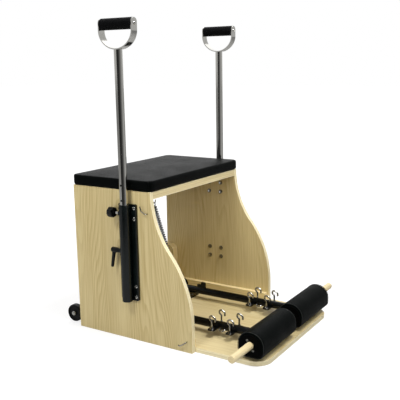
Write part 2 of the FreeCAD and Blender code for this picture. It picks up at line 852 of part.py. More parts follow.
def spring_hook(x, y):
    """Open hook with a conical collar, standing on a cross bar, and its nut."""
    foot = bar_top - bar_thickness - hook_nut_height - hook_end_past_nut
    loop = bar_top + hook_loop_height
    rise = math.sqrt(hook_loop_radius ** 2 + 2 * hook_loop_radius * hook_neck_radius)
    neck = point(x, y + hook_neck_radius, loop - rise)
    centre = point(x, y, loop)
    to_loop = (centre - neck).normalize()
    touch = neck + to_loop * hook_neck_radius
    stem_top = point(x, y, loop - rise)
    bisector = ((stem_top - neck).normalize() + to_loop).normalize()
    start = math.atan2(touch.z - loop, touch.y - y)
    leave = math.pi / 2 + math.radians(hook_run_fall)

    def outward(angle):
        return point(0, math.cos(angle), math.sin(angle))

    def on_loop(angle):
        return centre + outward(angle) * hook_loop_radius

    run_start = on_loop(leave)
    run_end = run_start + outward(leave + math.pi / 2) * hook_run
    tip_centre = run_end - outward(leave) * hook_tip_bend
    tip_start = tip_centre - Y_AXIS * hook_tip_bend
    tip_middle = tip_centre + outward((leave + math.pi) / 2) * hook_tip_bend
    edges = [
        line_edge(point(x, y, foot), stem_top),
        arc_edge(stem_top, neck + bisector * hook_neck_radius, touch),
        arc_edge(touch, on_loop(start / 2), on_loop(0)),
        arc_edge(on_loop(0), on_loop(leave / 2), run_start),
        line_edge(run_start, run_end),
        arc_edge(run_end, tip_middle, tip_start),
        line_edge(tip_start, tip_start - Z_AXIS * hook_tip_length),
    ]
    wire = sweep(edges, hook_wire_radius)
    seat = point(x, y, bar_top)
    collar = Part.makeCone(hook_collar_radius, hook_wire_radius + side_gap, hook_collar_height, seat)
    under = point(x, y, bar_top - bar_thickness)
    nut = hex_ring(hook_collar_radius, hook_nut_height, hook_wire_radius + running_gap, under, -Z_AXIS)
    return [wire.fuse(collar), nut]


def arm_eye(side):
    """Half-round eye that slopes down from one side of the arm, with its legs coped to the tube."""
    y = ahead(eye_ahead)
    tilt = math.radians(eye_tilt)
    lean = point(side * math.cos(tilt), 0, -math.sin(tilt))
    root = point(arm_x, y, pivot_height)
    turn = root + lean * (arm_radius + eye_reach)
    legs = [root + Y_AXIS * (end * eye_radius) for end in (-1, 1)]
    turns = [turn + Y_AXIS * (end * eye_radius) for end in (-1, 1)]
    edges = [
        line_edge(legs[0], turns[0]),
        arc_edge(turns[0], turn + lean * eye_radius, turns[1]),
        line_edge(turns[1], legs[1]),
    ]
    bow = sweep(edges, eye_wire_radius)
    span = eye_radius + eye_wire_radius + cut_overrun
    tube = rod(arm_radius, point(arm_x, y - span, pivot_height), point(arm_x, y + span, pivot_height))
    return bow.cut(tube).Solids[0]


def pedal_hooks():
    """Four spring hooks with their nuts, and the two eyes, of one arm."""
    pieces = [arm_eye(side) for side in (-1, 1)]
    for step in range(2):
        for side in (-1, 1):
            pieces += spring_hook(arm_x + side * hook_half, ahead(bar_first_ahead + step * bar_pitch))
    return Part.Compound(pieces)


def loaf(x, inset):
    """Upright outline of a pad: flat base and sides under a broad round top."""
    y0 = ahead(pad_ahead) - pad_width / 2 + inset
    y1 = ahead(pad_ahead) + pad_width / 2 - inset
    z0 = pad_bottom + inset
    z1 = pad_bottom + pad_height - inset
    low = max(pad_bottom_radius - inset, edge_round)
    high = max(pad_top_radius - inset, edge_round)
    near = 1 - math.sqrt(0.5)
    return Part.Wire([
        line_edge(point(x, y0 + low, z0), point(x, y1 - low, z0)),
        arc_edge(point(x, y1 - low, z0), point(x, y1 - near * low, z0 + near * low), point(x, y1, z0 + low)),
        line_edge(point(x, y1, z0 + low), point(x, y1, z1 - high)),
        arc_edge(point(x, y1, z1 - high), point(x, y1 - near * high, z1 - near * high),
                 point(x, y1 - high, z1)),
        line_edge(point(x, y1 - high, z1), point(x, y0 + high, z1)),
        arc_edge(point(x, y0 + high, z1), point(x, y0 + near * high, z1 - near * high),
                 point(x, y0, z1 - high)),
        line_edge(point(x, y0, z1 - high), point(x, y0, z0 + low)),
        arc_edge(point(x, y0, z0 + low), point(x, y0 + near * low, z0 + near * low), point(x, y0 + low, z0)),
    ])


def core_block(grow):
    """The wooden block inside a pad, or the room for it."""
    y = ahead(pad_ahead)
    end = end_plate_thickness - grow
    block = box(pad_inner + end, pad_outer - end, y - core_width / 2 - grow, y + core_width / 2 + grow,
                core_bottom - grow, core_bottom + core_height + grow)
    return block.makeFillet(core_round, edges_along(block, X_AXIS))


def pedal_pad():
    """Upholstered pad, drawn in at its seams and fullest in the middle."""
    gap = end_plate_thickness + seat_gap
    length = pad_length - 2 * gap
    near_half = []
    far_half = []
    for station, draw, crown in zip(pad_station_shares, pad_draw_shares, pad_crown_shares):
        inset = draw * pad_end_draw - crown * pad_crown
        near_half.append(loaf(pad_inner + gap + station * length, inset))
        far_half.append(loaf(pad_outer - gap - station * length, inset))
    sections = near_half + far_half[-2::-1]
    pad = Part.makeLoft(sections, True, True)
    pad = pad.cut(core_block(seat_gap))
    rear = ahead(pad_ahead) + pad_width / 2 + pad_crown + cut_overrun
    start = point(arm_x, ahead(pad_ahead) + core_width / 2 - arm_depth - cut_overrun, pivot_height)
    return pad.cut(rod(arm_radius + seat_gap, start, point(arm_x, rear, pivot_height)))


def plate_screw_places():
    """Offsets of the end-plate screws from the dowel, on Y and Z."""
    angle = math.radians(plate_screw_angle)
    across = plate_screw_circle * math.sin(angle)
    up = plate_screw_circle * math.cos(angle)
    return ((across, up), (-across, -up))


def pad_core():
    """Wooden block with bores for the dowel, the arm and the screws."""
    y = ahead(pad_ahead)
    core = core_block(0)
    end = point(pad_outer, y, pad_middle)
    core = core.cut(Part.makeCylinder(dowel_radius + running_gap, dowel_depth + cut_overrun, end, -X_AXIS))
    mouth = point(arm_x, y + core_width / 2 + cut_overrun, pivot_height)
    depth = arm_depth + 2 * cut_overrun
    core = core.cut(Part.makeCylinder(arm_radius + running_gap, depth, mouth, -Y_AXIS))
    for face, inward in ((pad_inner, X_AXIS), (pad_outer, -X_AXIS)):
        for offset_y, offset_z in plate_screw_places():
            start = point(face, y + offset_y, pad_middle + offset_z)
            core = core.cut(Part.makeCylinder(screw_radius + hole_gap, screw_depth + cut_overrun, start, inward))
    return core


def pad_end_plates():
    """Black plates on the two ends of one pad; the outer one lets the dowel through."""
    plates = []
    y = ahead(pad_ahead)
    for x in (pad_inner, pad_outer - end_plate_thickness):
        plate = Part.Face(loaf(x, end_plate_inset)).extrude(X_AXIS * end_plate_thickness)
        start_x = x - cut_overrun
        length = end_plate_thickness + 2 * cut_overrun
        for offset_y, offset_z in plate_screw_places():
            start = point(start_x, y + offset_y, pad_middle + offset_z)
            plate = plate.cut(Part.makeCylinder(screw_radius + hole_gap, length, start, X_AXIS))
        if x > arm_x:
            start = point(start_x, y, pad_middle)
            plate = plate.cut(Part.makeCylinder(dowel_radius + running_gap, length, start, X_AXIS))
        plates.append(plate)
    return Part.Compound(plates)


def pad_screws():
    """Round-head screws that hold one pad's end plates."""
    screws = []
    y = ahead(pad_ahead)
    for face, outward in ((pad_inner, -X_AXIS), (pad_outer, X_AXIS)):
        for offset_y, offset_z in plate_screw_places():
            seat = point(face, y + offset_y, pad_middle + offset_z)
            head = dome(screw_head_radius, screw_head_height, seat, outward)
            screws.append(head.fuse(Part.makeCylinder(screw_radius, screw_depth, seat, -outward)))
    return Part.Compound(screws)


def foot_dowel():
    """Wooden dowel that sticks out of the pad's outer end."""
    start = point(pad_outer - dowel_depth, ahead(pad_ahead), pad_middle)
    dowel = Part.makeCylinder(dowel_radius, dowel_depth + dowel_reach, start, X_AXIS)
    tip = [edge for edge in edges_across(dowel, X_AXIS) if edge.CenterOfMass.x > pad_outer]
    return dowel.makeFillet(dowel_round, tip)


def pedal_stops():
    """Rubber stops on the base under one pad."""
    stops = []
    for side in (-1, 1):
        foot = point(arm_x + side * stop_half, ahead(pad_ahead), base_thickness)
        stops.append(Part.makeCylinder(stop_radius, pad_rise - pad_crown - seat_gap, foot))
    return Part.Compound(stops)


def pivot_bracket():
    """Foot plate with two round-topped ears for the pivot bolt."""
    half = bracket_width / 2
    foot_top = base_thickness + bracket_plate
    foot = box(arm_x - half, arm_x + half, ahead(bracket_front_ahead), ahead(bracket_back_ahead),
               base_thickness, foot_top)
    foot = foot.makeFillet(bracket_corner, edges_along(foot, Z_AXIS))
    pivot_y = ahead(pivot_ahead)
    bracket = foot
    for x in (arm_x - half, arm_x + half - ear_thickness):
        cheek = box(x, x + ear_thickness, pivot_y - ear_radius, pivot_y + ear_radius, base_thickness, pivot_height)
        crown = Part.makeCylinder(ear_radius, ear_thickness, point(x, pivot_y, pivot_height), X_AXIS)
        bracket = bracket.fuse(cheek).fuse(crown)
    start = point(arm_x - bracket_width, pivot_y, pivot_height)
    bracket = bracket.cut(Part.makeCylinder(pivot_bolt_radius + running_gap, 2 * bracket_width, start, X_AXIS))
    for x, y in foot_screw_places():
        hole = rod(screw_radius + hole_gap, point(x, y, 0), point(x, y, foot_top + cut_overrun))
        bracket = bracket.cut(hole)
    return bracket.removeSplitter()


def pivot_bolt():
    """Pivot bolt and nut of one bracket."""
    y = ahead(pivot_ahead)
    inner = point(arm_x - bracket_width / 2, y, pivot_height)
    outer = point(arm_x + bracket_width / 2, y, pivot_height)
    head = hex_ring(pivot_head_radius, pivot_head_height, screw_radius, inner, -X_AXIS)
    tail = outer + X_AXIS * (pivot_head_height + bolt_past_nut)
    shank_start = inner - X_AXIS * pivot_head_height
    bolt = head.fuse(rod(pivot_bolt_radius, shank_start, tail))
    nut = hex_ring(pivot_head_radius, pivot_head_height, pivot_bolt_radius + running_gap, outer, X_AXIS)
    return [bolt, nut]


def bracket_screws():
    """Screws of one pivot bracket's foot and one wheel bracket's flange."""
    screws = []
    for x, y in foot_screw_places():
        seat = point(x, y, base_thickness + bracket_plate)
        head = dome(screw_head_radius, screw_head_height, seat, Z_AXIS)
        length = bracket_plate + screw_depth
        screws.append(head.fuse(Part.makeCylinder(screw_radius, length, seat, -Z_AXIS)))
    for height in flange_screw_heights():
        seat = point(wheel_flange_middle(), rear_y + wheel_plate, height)
        head = dome(screw_head_radius, screw_head_height, seat, Y_AXIS)
        length = wheel_plate + screw_depth
        screws.append(head.fuse(Part.makeCylinder(screw_radius, length, seat, -Y_AXIS)))
    return screws


def wheel_bracket():
    """Angle plate behind the lower back board that carries one wheel."""
    face = wheel_x - wheel_width / 2 - side_gap
    low = base_thickness + wheel_flange_lift
    flange = box(face - wheel_flange_width, face, rear_y, rear_y + wheel_plate, low, low + wheel_flange_height)
    axle_y = ahead(-wheel_behind)
    outline = Part.Wire([
        line_edge(point(face, rear_y, low), point(face, axle_y, wheel_axle_height - wheel_plate_nose)),
        arc_edge(point(face, axle_y, wheel_axle_height - wheel_plate_nose),
                 point(face, axle_y + wheel_plate_nose, wheel_axle_height),
                 point(face, axle_y, wheel_axle_height + wheel_plate_nose)),
        line_edge(point(face, axle_y, wheel_axle_height + wheel_plate_nose),
                  point(face, rear_y, low + wheel_flange_height)),
        line_edge(point(face, rear_y, low + wheel_flange_height), point(face, rear_y, low)),
    ])
    web = Part.Face(outline).extrude(X_AXIS * -wheel_plate)
    bracket = flange.fuse(web)
    start = point(face - wheel_plate - cut_overrun, axle_y, wheel_axle_height)
    bracket = bracket.cut(Part.makeCylinder(axle_radius + running_gap, wheel_plate + 2 * cut_overrun, start, X_AXIS))
    for height in flange_screw_heights():
        start = point(wheel_flange_middle(), rear_y - cut_overrun, height)
        hole = Part.makeCylinder(screw_radius + hole_gap, wheel_plate + 2 * cut_overrun, start, Y_AXIS)
        bracket = bracket.cut(hole)
    return bracket.removeSplitter()


def wheel():
    """Black wheel, dished on both faces."""
    middle = point(wheel_x, ahead(-wheel_behind), wheel_axle_height)
    start = middle - X_AXIS * (wheel_width / 2)
    disc = Part.makeCylinder(wheel_radius, wheel_width, start, X_AXIS)
    disc = disc.makeFillet(wheel_tread_round, edges_across(disc, X_AXIS))
    for side in (-1, 1):
        face = middle + X_AXIS * (side * wheel_width / 2)
        dish = Part.makeCylinder(wheel_dish_outer, wheel_dish_depth, face, X_AXIS * -side)
        dish = dish.cut(Part.makeCylinder(wheel_dish_inner, wheel_dish_depth, face, X_AXIS * -side))
        disc = disc.cut(dish)
    return disc.cut(Part.makeCylinder(axle_radius + running_gap, wheel_width, start, X_AXIS))


def wheel_axle():
    """Domed axle bolt and its nut."""
    y = ahead(-wheel_behind)
    outer = point(wheel_x + wheel_width / 2 + seat_gap, y, wheel_axle_height)
    plate = point(wheel_x - wheel_width / 2 - side_gap - wheel_plate, y, wheel_axle_height)
    tail = plate - X_AXIS * (nut_height + bolt_past_nut)
    bolt = dome(axle_head_radius, axle_head_height, outer, X_AXIS).fuse(rod(axle_radius, tail, outer))
    nut = hex_ring(axle_head_radius, nut_height, axle_radius + running_gap, plate, -X_AXIS)
    return [bolt, nut]


def outer_hook(y, z, run, rise, tip):
    """Bent wire hook on the outer face of the right panel, which runs back and turns up at its tip."""
    start = point(outer_x, y, z)
    corner = start + X_AXIS * panel_hook_stand
    bend = corner + point(0, run, rise)
    end = bend + point(0, panel_hook_lean, tip)
    return bent_wire([start, corner, bend, end], panel_hook_bend, panel_hook_wire)


def spring_ends():
    """Upper and lower places on the spring's axis where its rings hang on their pegs."""
    x = spring_stand - half_inner
    upper = point(x, ahead(seat_depth - spring_top_margin), spring_top_height)
    lower = point(x, ahead(foot_depth - spring_bottom_margin), spring_bottom_height)
    return upper, lower


def spring_peg(place, turn):
    """Bent peg on the inner face of the left panel that holds one ring of the spring."""
    start = point(-half_inner, place.y, place.z)
    corner = place + X_AXIS * (spring_stand / 2 + panel_hook_bend)
    tip = corner + Z_AXIS * (turn * spring_peg_tip)
    return bent_wire([start, corner, tip], panel_hook_bend, panel_hook_wire)


def panel_hooks():
    """Outer hooks of both panels and the spring's two pegs."""
    upper_y = ahead(seat_depth - upper_hook_margin)
    upper = outer_hook(upper_y, upper_hook_height, upper_hook_run, upper_hook_rise, upper_hook_tip)
    lower_y = ahead(foot_depth - lower_hook_margin)
    lower = outer_hook(lower_y, lower_hook_height, lower_hook_run, -lower_hook_fall, lower_hook_tip)
    pieces = [upper, mirrored(upper), lower, mirrored(lower)]
    for place, turn in zip(spring_ends(), (1, -1)):
        pieces.append(spring_peg(place, turn))
    return Part.Compound(pieces)


def ring_offset():
    """How far a ring's centre hangs from the middle of its peg."""
    return spring_ring_radius - spring_ring_wire - panel_hook_wire - seat_gap


def spring_fittings():
    """A ring with a plug for each end of the spring."""
    upper, lower = spring_ends()
    pieces = []
    for place, other in ((upper, lower), (lower, upper)):
        inward = (other - place).normalize()
        centre = place + inward * ring_offset()
        ring = Part.makeTorus(spring_ring_radius, spring_ring_wire, centre, X_AXIS)
        plug_start = centre + inward * spring_ring_radius
        plug_radius = spring_mean_radius - spring_wire_radius - seat_gap
        plug = Part.makeCylinder(plug_radius, spring_plug_length, plug_start, inward)
        pieces.append(ring.fuse(plug))
    return Part.Compound(pieces)


def biarc(first, first_heading, last, last_heading):
    """Two arcs, tangent to each other, from one point and heading to another."""
    chord = last - first
    both_ways = first_heading + last_heading
    spread = 2 * (1 - first_heading.dot(last_heading))
    reach = chord.dot(both_ways)
    length = (math.sqrt(reach * reach + spread * chord.dot(chord)) - reach) / spread
    corners = (first + first_heading * length, last - last_heading * length)
    joint = (corners[0] + corners[1]) * 0.5
    edges = []
    for start, corner, end in ((first, corners[0], joint), (joint, corners[1], last)):
        half_chord = (end - start).Length / 2
        foot = (start + end) * 0.5
        height = (corner - foot).Length
        bulge = half_chord * (math.sqrt(half_chord ** 2 + height ** 2) - half_chord) / height
        edges.append(arc_edge(start, foot + (corner - foot) * (bulge / height), end))
    return edges


def parked_spring():
    """Extension spring between its two fittings, as one unbroken wound wire."""
    upper, lower = spring_ends()
    along = (lower - upper).normalize()
    offset = ring_offset() + spring_ring_radius + 2 * spring_wire_radius
    base = upper + along * offset
    length = (lower - upper).Length - 2 * offset
    side = along.cross(X_AXIS)
    slope = length / (2 * math.pi * spring_turns)
    speed = math.hypot(spring_mean_radius, slope)

    def place(angle):
        across = X_AXIS * math.cos(angle) + side * math.sin(angle)
        return base + across * spring_mean_radius + along * (slope * angle)

    def heading(angle):
        turn = side * math.cos(angle) - X_AXIS * math.sin(angle)
        return (turn * spring_mean_radius + along * slope) * (1 / speed)

    last_angle = 2 * math.pi * spring_turns
    straight = 2 * spring_wire_radius
    edges = [line_edge(place(0) - heading(0) * straight, place(0))]
    for half_turn in range(2 * spring_turns):
        angle = math.pi * half_turn
        edges += biarc(place(angle), heading(angle), place(angle + math.pi), heading(angle + math.pi))
    edges.append(line_edge(place(last_angle), place(last_angle) + heading(last_angle) * straight))
    report_least_gap(edges)
    return sweep(edges, spring_wire_radius)


def report_least_gap(edges):
    """Print the least room between neighbouring turns, measured on points along the wire."""
    points = []
    for edge in edges:
        points += edge.discretize(9)[:-1]
    per_turn = 32
    least = min((points[index] - other).Length
                for index in range(len(points))
                for other in points[index + per_turn // 2: index + 2 * per_turn])
    print("spring: least gap between turns %.2f mm" % (least - 2 * spring_wire_radius))


os.makedirs("parts", exist_ok=True)

# Wooden carcase
write_pair("side_panel", side_panel())
write("seat_board", seat_board())
write("seat_cushion", seat_cushion())
write("base_board", base_board())
write_pair("base_cleat", base_cleat())
write_pair("rear_post", rear_post())
write("lower_back_board", lower_back_board())

# Handle sleeves and what holds them
write_pair("handle_sleeve", handle_sleeve())
write("sleeve_bushes", both(sleeve_bushes()))
write("sleeve_bolts", both(sleeve_bolts()))
write("sleeve_nuts", both(sleeve_nuts()))

# Height-adjustable handles
write_pair("pole", pole())
write_pair("handle_strap", handle_strap())
write_pair("handle_grip", handle_grip())
write_pair("grip_screws", grip_screws())
write_pair("star_knob", star_knob())
write_pair("star_knob_stem", star_knob_stem())
write_pair("clamp_lever", clamp_lever())

# Pedals
write_pair("pedal_arm", pedal_arm())
write_pair("pivot_bushes", pivot_bushes())
write_pair("pedal_crossbars", pedal_crossbars())
write_pair("pedal_hooks", pedal_hooks())
write_pair("pedal_pad", pedal_pad())
write_pair("pad_core", pad_core())
write_pair("pad_end_plates", pad_end_plates())
write_pair("pad_screws", pad_screws())
write_pair("foot_dowel", foot_dowel())
write("pedal_stops", both(pedal_stops()))

# Pivots, wheels and small hardware
write_pair("pivot_bracket", pivot_bracket())
write("pivot_bolts", both(Part.Compound(pivot_bolt())))
write("bracket_screws", both(Part.Compound(bracket_screws())))
write_pair("wheel_bracket", wheel_bracket())
write_pair("wheel", wheel())
write("wheel_axles", both(Part.Compound(wheel_axle())))
write("panel_hooks", panel_hooks())

# Parked spring
write("parked_spring", parked_spring())
write("spring_fittings", spring_fittings())
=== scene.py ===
"""Looks of a split-pedal pilates chair: its finishes, its upholstery, and the studio round it."""

import json
import logging
import math
from dataclasses import dataclass
from enum import Enum
from functools import cached_property
from typing import Callable, Iterable, Sequence

import bmesh
import bpy
from bmesh.types import BMesh
from bpy.types import Material, Mesh, Node, NodeSocket, NodeTree, Object
from mathutils import Euler, Matrix, Vector


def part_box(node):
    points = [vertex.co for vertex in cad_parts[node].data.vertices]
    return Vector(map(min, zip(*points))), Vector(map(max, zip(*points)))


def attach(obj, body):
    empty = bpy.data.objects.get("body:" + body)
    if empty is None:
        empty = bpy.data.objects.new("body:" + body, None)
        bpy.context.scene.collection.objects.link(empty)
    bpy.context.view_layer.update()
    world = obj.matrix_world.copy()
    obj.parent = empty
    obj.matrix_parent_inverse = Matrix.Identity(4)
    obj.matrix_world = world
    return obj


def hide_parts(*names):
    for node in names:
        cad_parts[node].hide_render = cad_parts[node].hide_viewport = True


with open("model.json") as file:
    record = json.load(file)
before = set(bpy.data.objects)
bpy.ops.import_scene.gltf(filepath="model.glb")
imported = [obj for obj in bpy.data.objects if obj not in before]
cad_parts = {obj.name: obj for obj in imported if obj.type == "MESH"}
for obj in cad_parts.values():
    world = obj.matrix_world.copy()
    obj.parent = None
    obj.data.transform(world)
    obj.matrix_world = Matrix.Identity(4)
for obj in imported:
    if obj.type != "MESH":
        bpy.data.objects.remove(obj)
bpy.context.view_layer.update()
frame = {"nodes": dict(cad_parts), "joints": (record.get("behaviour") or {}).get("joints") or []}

LOG = logging.getLogger("chair")
Colour = tuple[float, float, float, float]
Triple = tuple[float, float, float]
Span = tuple[float, float]

X, Y, Z = range(3)
# An edge counts as along an axis above the first cosine, and as square to it below the second.
ALONG = 0.99
SQUARE = 0.01
# A point this many metres from a plane, or nearer, counts as on it.
NEAR = 0.001
# Kinds of a node group's sockets, by their names. All others are numbers.
KINDS = {"Vector": "NodeSocketVector", "Light": "NodeSocketColor", "Dark": "NodeSocketColor",
         "Color": "NodeSocketColor"}
NUMBER = "NodeSocketFloat"


class Side(Enum):
    """The two sides of the chair, with the sign of X there."""

    LEFT = -1
    RIGHT = 1

    def node(self, stem: str) -> str:
        """Name of this side's node or body."""
        return f"{stem}_{self.name.lower()}"


class Grain(Enum):
    """The way that wood grain runs, as the turn that brings it onto the figure's own Z axis."""

    ALONG_X = (0.0, -90.0, 0.0)
    ALONG_Y = (90.0, 0.0, 0.0)
    ALONG_Z = (0.0, 0.0, 0.0)

    @property
    def turn(self) -> Euler:
        """The turn as an Euler rotation."""
        return Euler([math.radians(angle) for angle in self.value])


def rgb(red: int, green: int, blue: int) -> Colour:
    """Linear colour, with full alpha, of a colour as a screen shows it, 0 to 255."""
    linear = []
    for channel in (red, green, blue):
        value = channel / 255
        linear.append(value / 12.92 if value <= 0.04045 else ((value + 0.055) / 1.055) ** 2.4)
    return (*linear, 1.0)


class ShaderTree:
    """Adds and joins the nodes of one shader tree."""

    def __init__(self, tree: NodeTree) -> None:
        """Keep the tree that the nodes go into."""
        self.tree = tree

    def feed(self, node: Node, inputs: dict) -> None:
        """Give inputs of a node, by name or number, a value or a socket to join."""
        for name, value in inputs.items():
            if isinstance(value, NodeSocket):
                self.tree.links.new(value, node.inputs[name])
            else:
                node.inputs[name].default_value = value

    def add(self, kind: str, inputs: dict | None = None, **settings: object) -> Node:
        """Add a node.

        Args:
            kind: Blender's name of the node type.
            inputs: What its inputs are fed.
            **settings: The node's own properties.

        Returns:
            The new node.
        """
        node = self.tree.nodes.new(kind)
        for name, value in settings.items():
            setattr(node, name, value)
        self.feed(node, inputs or {})
        return node

    def group(self, group: NodeTree, inputs: dict) -> Node:
        """Place a shared effect and return its node."""
        return self.add("ShaderNodeGroup", inputs, node_tree=group)

    def math(self, operation: str, *values: object) -> NodeSocket:
        """Join values by one arithmetic operation and return the result's socket."""
        return self.add("ShaderNodeMath", dict(enumerate(values)), operation=operation).outputs[0]

    def mix(self, factor: object, first: object, second: object) -> NodeSocket:
        """Mix two colours and return the result's socket."""
        node = self.add("ShaderNodeMix", {0: factor, 6: first, 7: second}, data_type="RGBA")
        return node.outputs[2]

    def ramp(self, value: object, low: float, high: float, start: float = 0.0,
             end: float = 1.0) -> NodeSocket:
        """Map a value smoothly from one range to another.

        Args:
            value: The socket to map.
            low: Value that gives start.
            high: Value that gives end.
            start: Result at low and beyond it.
            end: Result at high and beyond it.

        Returns:
            The socket of the mapped value.
        """
        inputs = {"Value": value, "From Min": low, "From Max": high, "To Min": start, "To Max": end}
        return self.add("ShaderNodeMapRange", inputs, interpolation_type="SMOOTHSTEP").outputs[0]

    def noise(self, vector: object, scale: object, detail: float = 2.0,
              roughness: float = 0.5) -> NodeSocket:
        """Add a noise texture and return its value's socket."""
        inputs = {"Vector": vector, "Scale": scale, "Detail": detail, "Roughness": roughness}
        return self.add("ShaderNodeTexNoise", inputs).outputs[0]

    def stretch(self, vector: object, scale: Triple) -> NodeSocket:
        """Scale a vector along its three axes and return the result's socket."""
        node = self.add("ShaderNodeVectorMath", {0: vector, 1: scale}, operation="MULTIPLY")
        return node.outputs[0]

    def emboss(self, shader: Node, height: NodeSocket, strength: float, depth: float) -> None:
        """Bump a shader.

        Args:
            shader: The Principled shader.
            height: The socket of the height.
            strength: How strongly the bump shows.
            depth: Height of the bump in metres.
        """
        bump = self.add("ShaderNodeBump", {"Height": height, "Strength": strength, "Distance": depth})
        self.feed(shader, {"Normal": bump.outputs[0]})


def blank_material(name: str) -> tuple[Material, ShaderTree]:
    """Make a material without nodes and return it with its shader tree."""
    material = bpy.data.materials.new(name)
    material.use_nodes = True
    material.node_tree.nodes.clear()
    return material, ShaderTree(material.node_tree)


@dataclass(frozen=True)
class WoodFigure:
    """Measures of a wood figure: the stretch of each noise, the span of it that shows, and its share."""

    rings_across: float = 74.0
    rings_along: float = 3.0
    wander: Triple = (7.0, 7.0, 0.8)
    wander_rings: float = 22.0
    ripple: Triple = (34.0, 34.0, 4.0)
    ripple_rings: float = 0.7
    late_wood: Span = (0.3, 0.88)
    ring_end: Span = (1.0, 0.9)
    patches: Triple = (9.0, 9.0, 1.6)
    patch_span: Span = (0.3, 0.75)
    patch_share: float = 0.14
    ring_span: Span = (0.3, 0.65)
    ring_least: float = 0.25
    streaks: Triple = (230.0, 230.0, 3.4)
    streak_span: Span = (0.32, 0.74)
    streak_share: float = 0.36
    rough_span: Span = (0.3, 0.75)
    rough: Span = (0.36, 0.52)
    pores: Triple = (620.0, 620.0, 17.0)
    pore_span: Span = (0.6, 0.72)
    pore_share: float = 0.16
    pore_depth: float = 0.6


@dataclass(frozen=True)
class SharedEffects:
    """Node groups that several finishes place, each built once."""

    figure: WoodFigure = WoodFigure()
    warp_scale: float = 60.0
    warp: float = 0.004
    pebble_edge: float = 0.22
    fine_scale: float = 1400.0
    fine_share: float = 0.25
    mark_span: Span = (0.36, 0.68)

    @staticmethod
    def _open(name: str, inputs: Sequence[str], outputs: Sequence[str]) -> tuple:
        """Start a group.

        Args:
            name: The group's name.
            inputs: Names of what goes in.
            outputs: Names of what comes out.

        Returns:
            The group, its shader tree, its input sockets and its output node.
        """
        group = bpy.data.node_groups.new(name, "ShaderNodeTree")
        for way, labels in (("INPUT", inputs), ("OUTPUT", outputs)):
            for label in labels:
                kind = KINDS.get(label, NUMBER)
                group.interface.new_socket(name=label, in_out=way, socket_type=kind)
        tree = ShaderTree(group)
        return group, tree, tree.add("NodeGroupInput").outputs, tree.add("NodeGroupOutput")

    @cached_property
    def wood(self) -> NodeTree:
        """Figure of sliced wood whose grain runs along Z: colour, roughness and height."""
        group, tree, given, out = self._open(
            "Wood figure", ("Vector", "Light", "Dark", "Figure"), ("Color", "Roughness", "Height"))
        vector = given["Vector"]
        figure = self.figure

        def noise(scale: Triple, detail: float, roughness: float = 0.5) -> NodeSocket:
            """Add a noise that is stretched along the grain."""
            return tree.noise(tree.stretch(vector, scale), 1.0, detail, roughness)

        along = tree.add("ShaderNodeSeparateXYZ", {0: vector}).outputs[Z]
        flat = tree.stretch(vector, (1.0, 1.0, 0.0))
        across = tree.add("ShaderNodeVectorMath", {0: flat}, operation="LENGTH").outputs["Value"]
        level = tree.math("MULTIPLY", across, figure.rings_across)
        level = tree.math("MULTIPLY_ADD", along, figure.rings_along, level)
        level = tree.math("MULTIPLY_ADD", noise(figure.wander, detail=1.5), figure.wander_rings, level)
        level = tree.math("MULTIPLY_ADD", noise(figure.ripple, detail=2.0), figure.ripple_rings, level)
        ring = tree.math("FRACT", level)
        late = tree.ramp(ring, *figure.late_wood)
        late = tree.math("MULTIPLY", late, tree.ramp(ring, *figure.ring_end))
        patches = noise(figure.patches, detail=2.0)
        streaks = noise(figure.streaks, detail=3.0, roughness=0.6)
        pores = tree.ramp(noise(figure.pores, detail=1.0), *figure.pore_span)
        late = tree.math("MULTIPLY", late, tree.ramp(patches, *figure.ring_span, figure.ring_least, 1.0))
        ring_part = tree.math("MULTIPLY", late, given["Figure"])
        streak_part = tree.math("MULTIPLY", tree.ramp(streaks, *figure.streak_span), figure.streak_share)
        patch_part = tree.math("MULTIPLY", tree.ramp(patches, *figure.patch_span), figure.patch_share)
        total = tree.math("ADD", ring_part, tree.math("ADD", streak_part, patch_part))
        total = tree.math("ADD", total, tree.math("MULTIPLY", pores, figure.pore_share))
        tree.feed(out, {
            "Color": tree.mix(tree.math("MINIMUM", total, 1.0), given["Light"], given["Dark"]),
            "Roughness": tree.ramp(streaks, *figure.rough_span, *figure.rough),
            "Height": tree.math("SUBTRACT", streaks, tree.math("MULTIPLY", pores, figure.pore_depth))})
        return group

    @cached_property
    def hide(self) -> NodeTree:
        """Pebbled grain of coated cloth: height, and a mask that is high in its creases, which the
        upholstery uses to darken them as painted shade.
        """
        group, tree, given, out = self._open("Hide grain", ("Vector", "Scale"), ("Height", "Crease"))
        vector = given["Vector"]
        warp = tree.add("ShaderNodeTexNoise", {"Vector": vector, "Scale": self.warp_scale, "Detail": 1.0})
        shift = tree.add("ShaderNodeVectorMath", {0: warp.outputs["Color"], "Scale": self.warp},
                         operation="SCALE").outputs[0]
        moved = tree.add("ShaderNodeVectorMath", {0: vector, 1: shift}, operation="ADD").outputs[0]
        cells = tree.add("ShaderNodeTexVoronoi", {"Vector": moved, "Scale": given["Scale"]},
                         feature="DISTANCE_TO_EDGE")
        pebble = tree.ramp(cells.outputs["Distance"], 0.0, self.pebble_edge)
        fine = tree.noise(moved, self.fine_scale, detail=1.0)
        tree.feed(out, {
            "Height": tree.math("ADD", pebble, tree.math("MULTIPLY", fine, self.fine_share)),
            "Crease": tree.math("SUBTRACT", 1.0, pebble)})
        return group

    @cached_property
    def handling(self) -> NodeTree:
        """Slow change of gloss from handling and cleaning: roughness between two values, and its mask."""
        group, tree, given, out = self._open(
            "Handling marks", ("Vector", "Clean", "Dull", "Scale"), ("Roughness", "Mask"))
        marks = tree.noise(given["Vector"], given["Scale"], detail=4.0, roughness=0.62)
        mask = tree.ramp(marks, *self.mark_span)
        span = tree.math("SUBTRACT", given["Dull"], given["Clean"])
        tree.feed(out, {"Roughness": tree.math("MULTIPLY_ADD", mask, span, given["Clean"]), "Mask": mask})
        return group

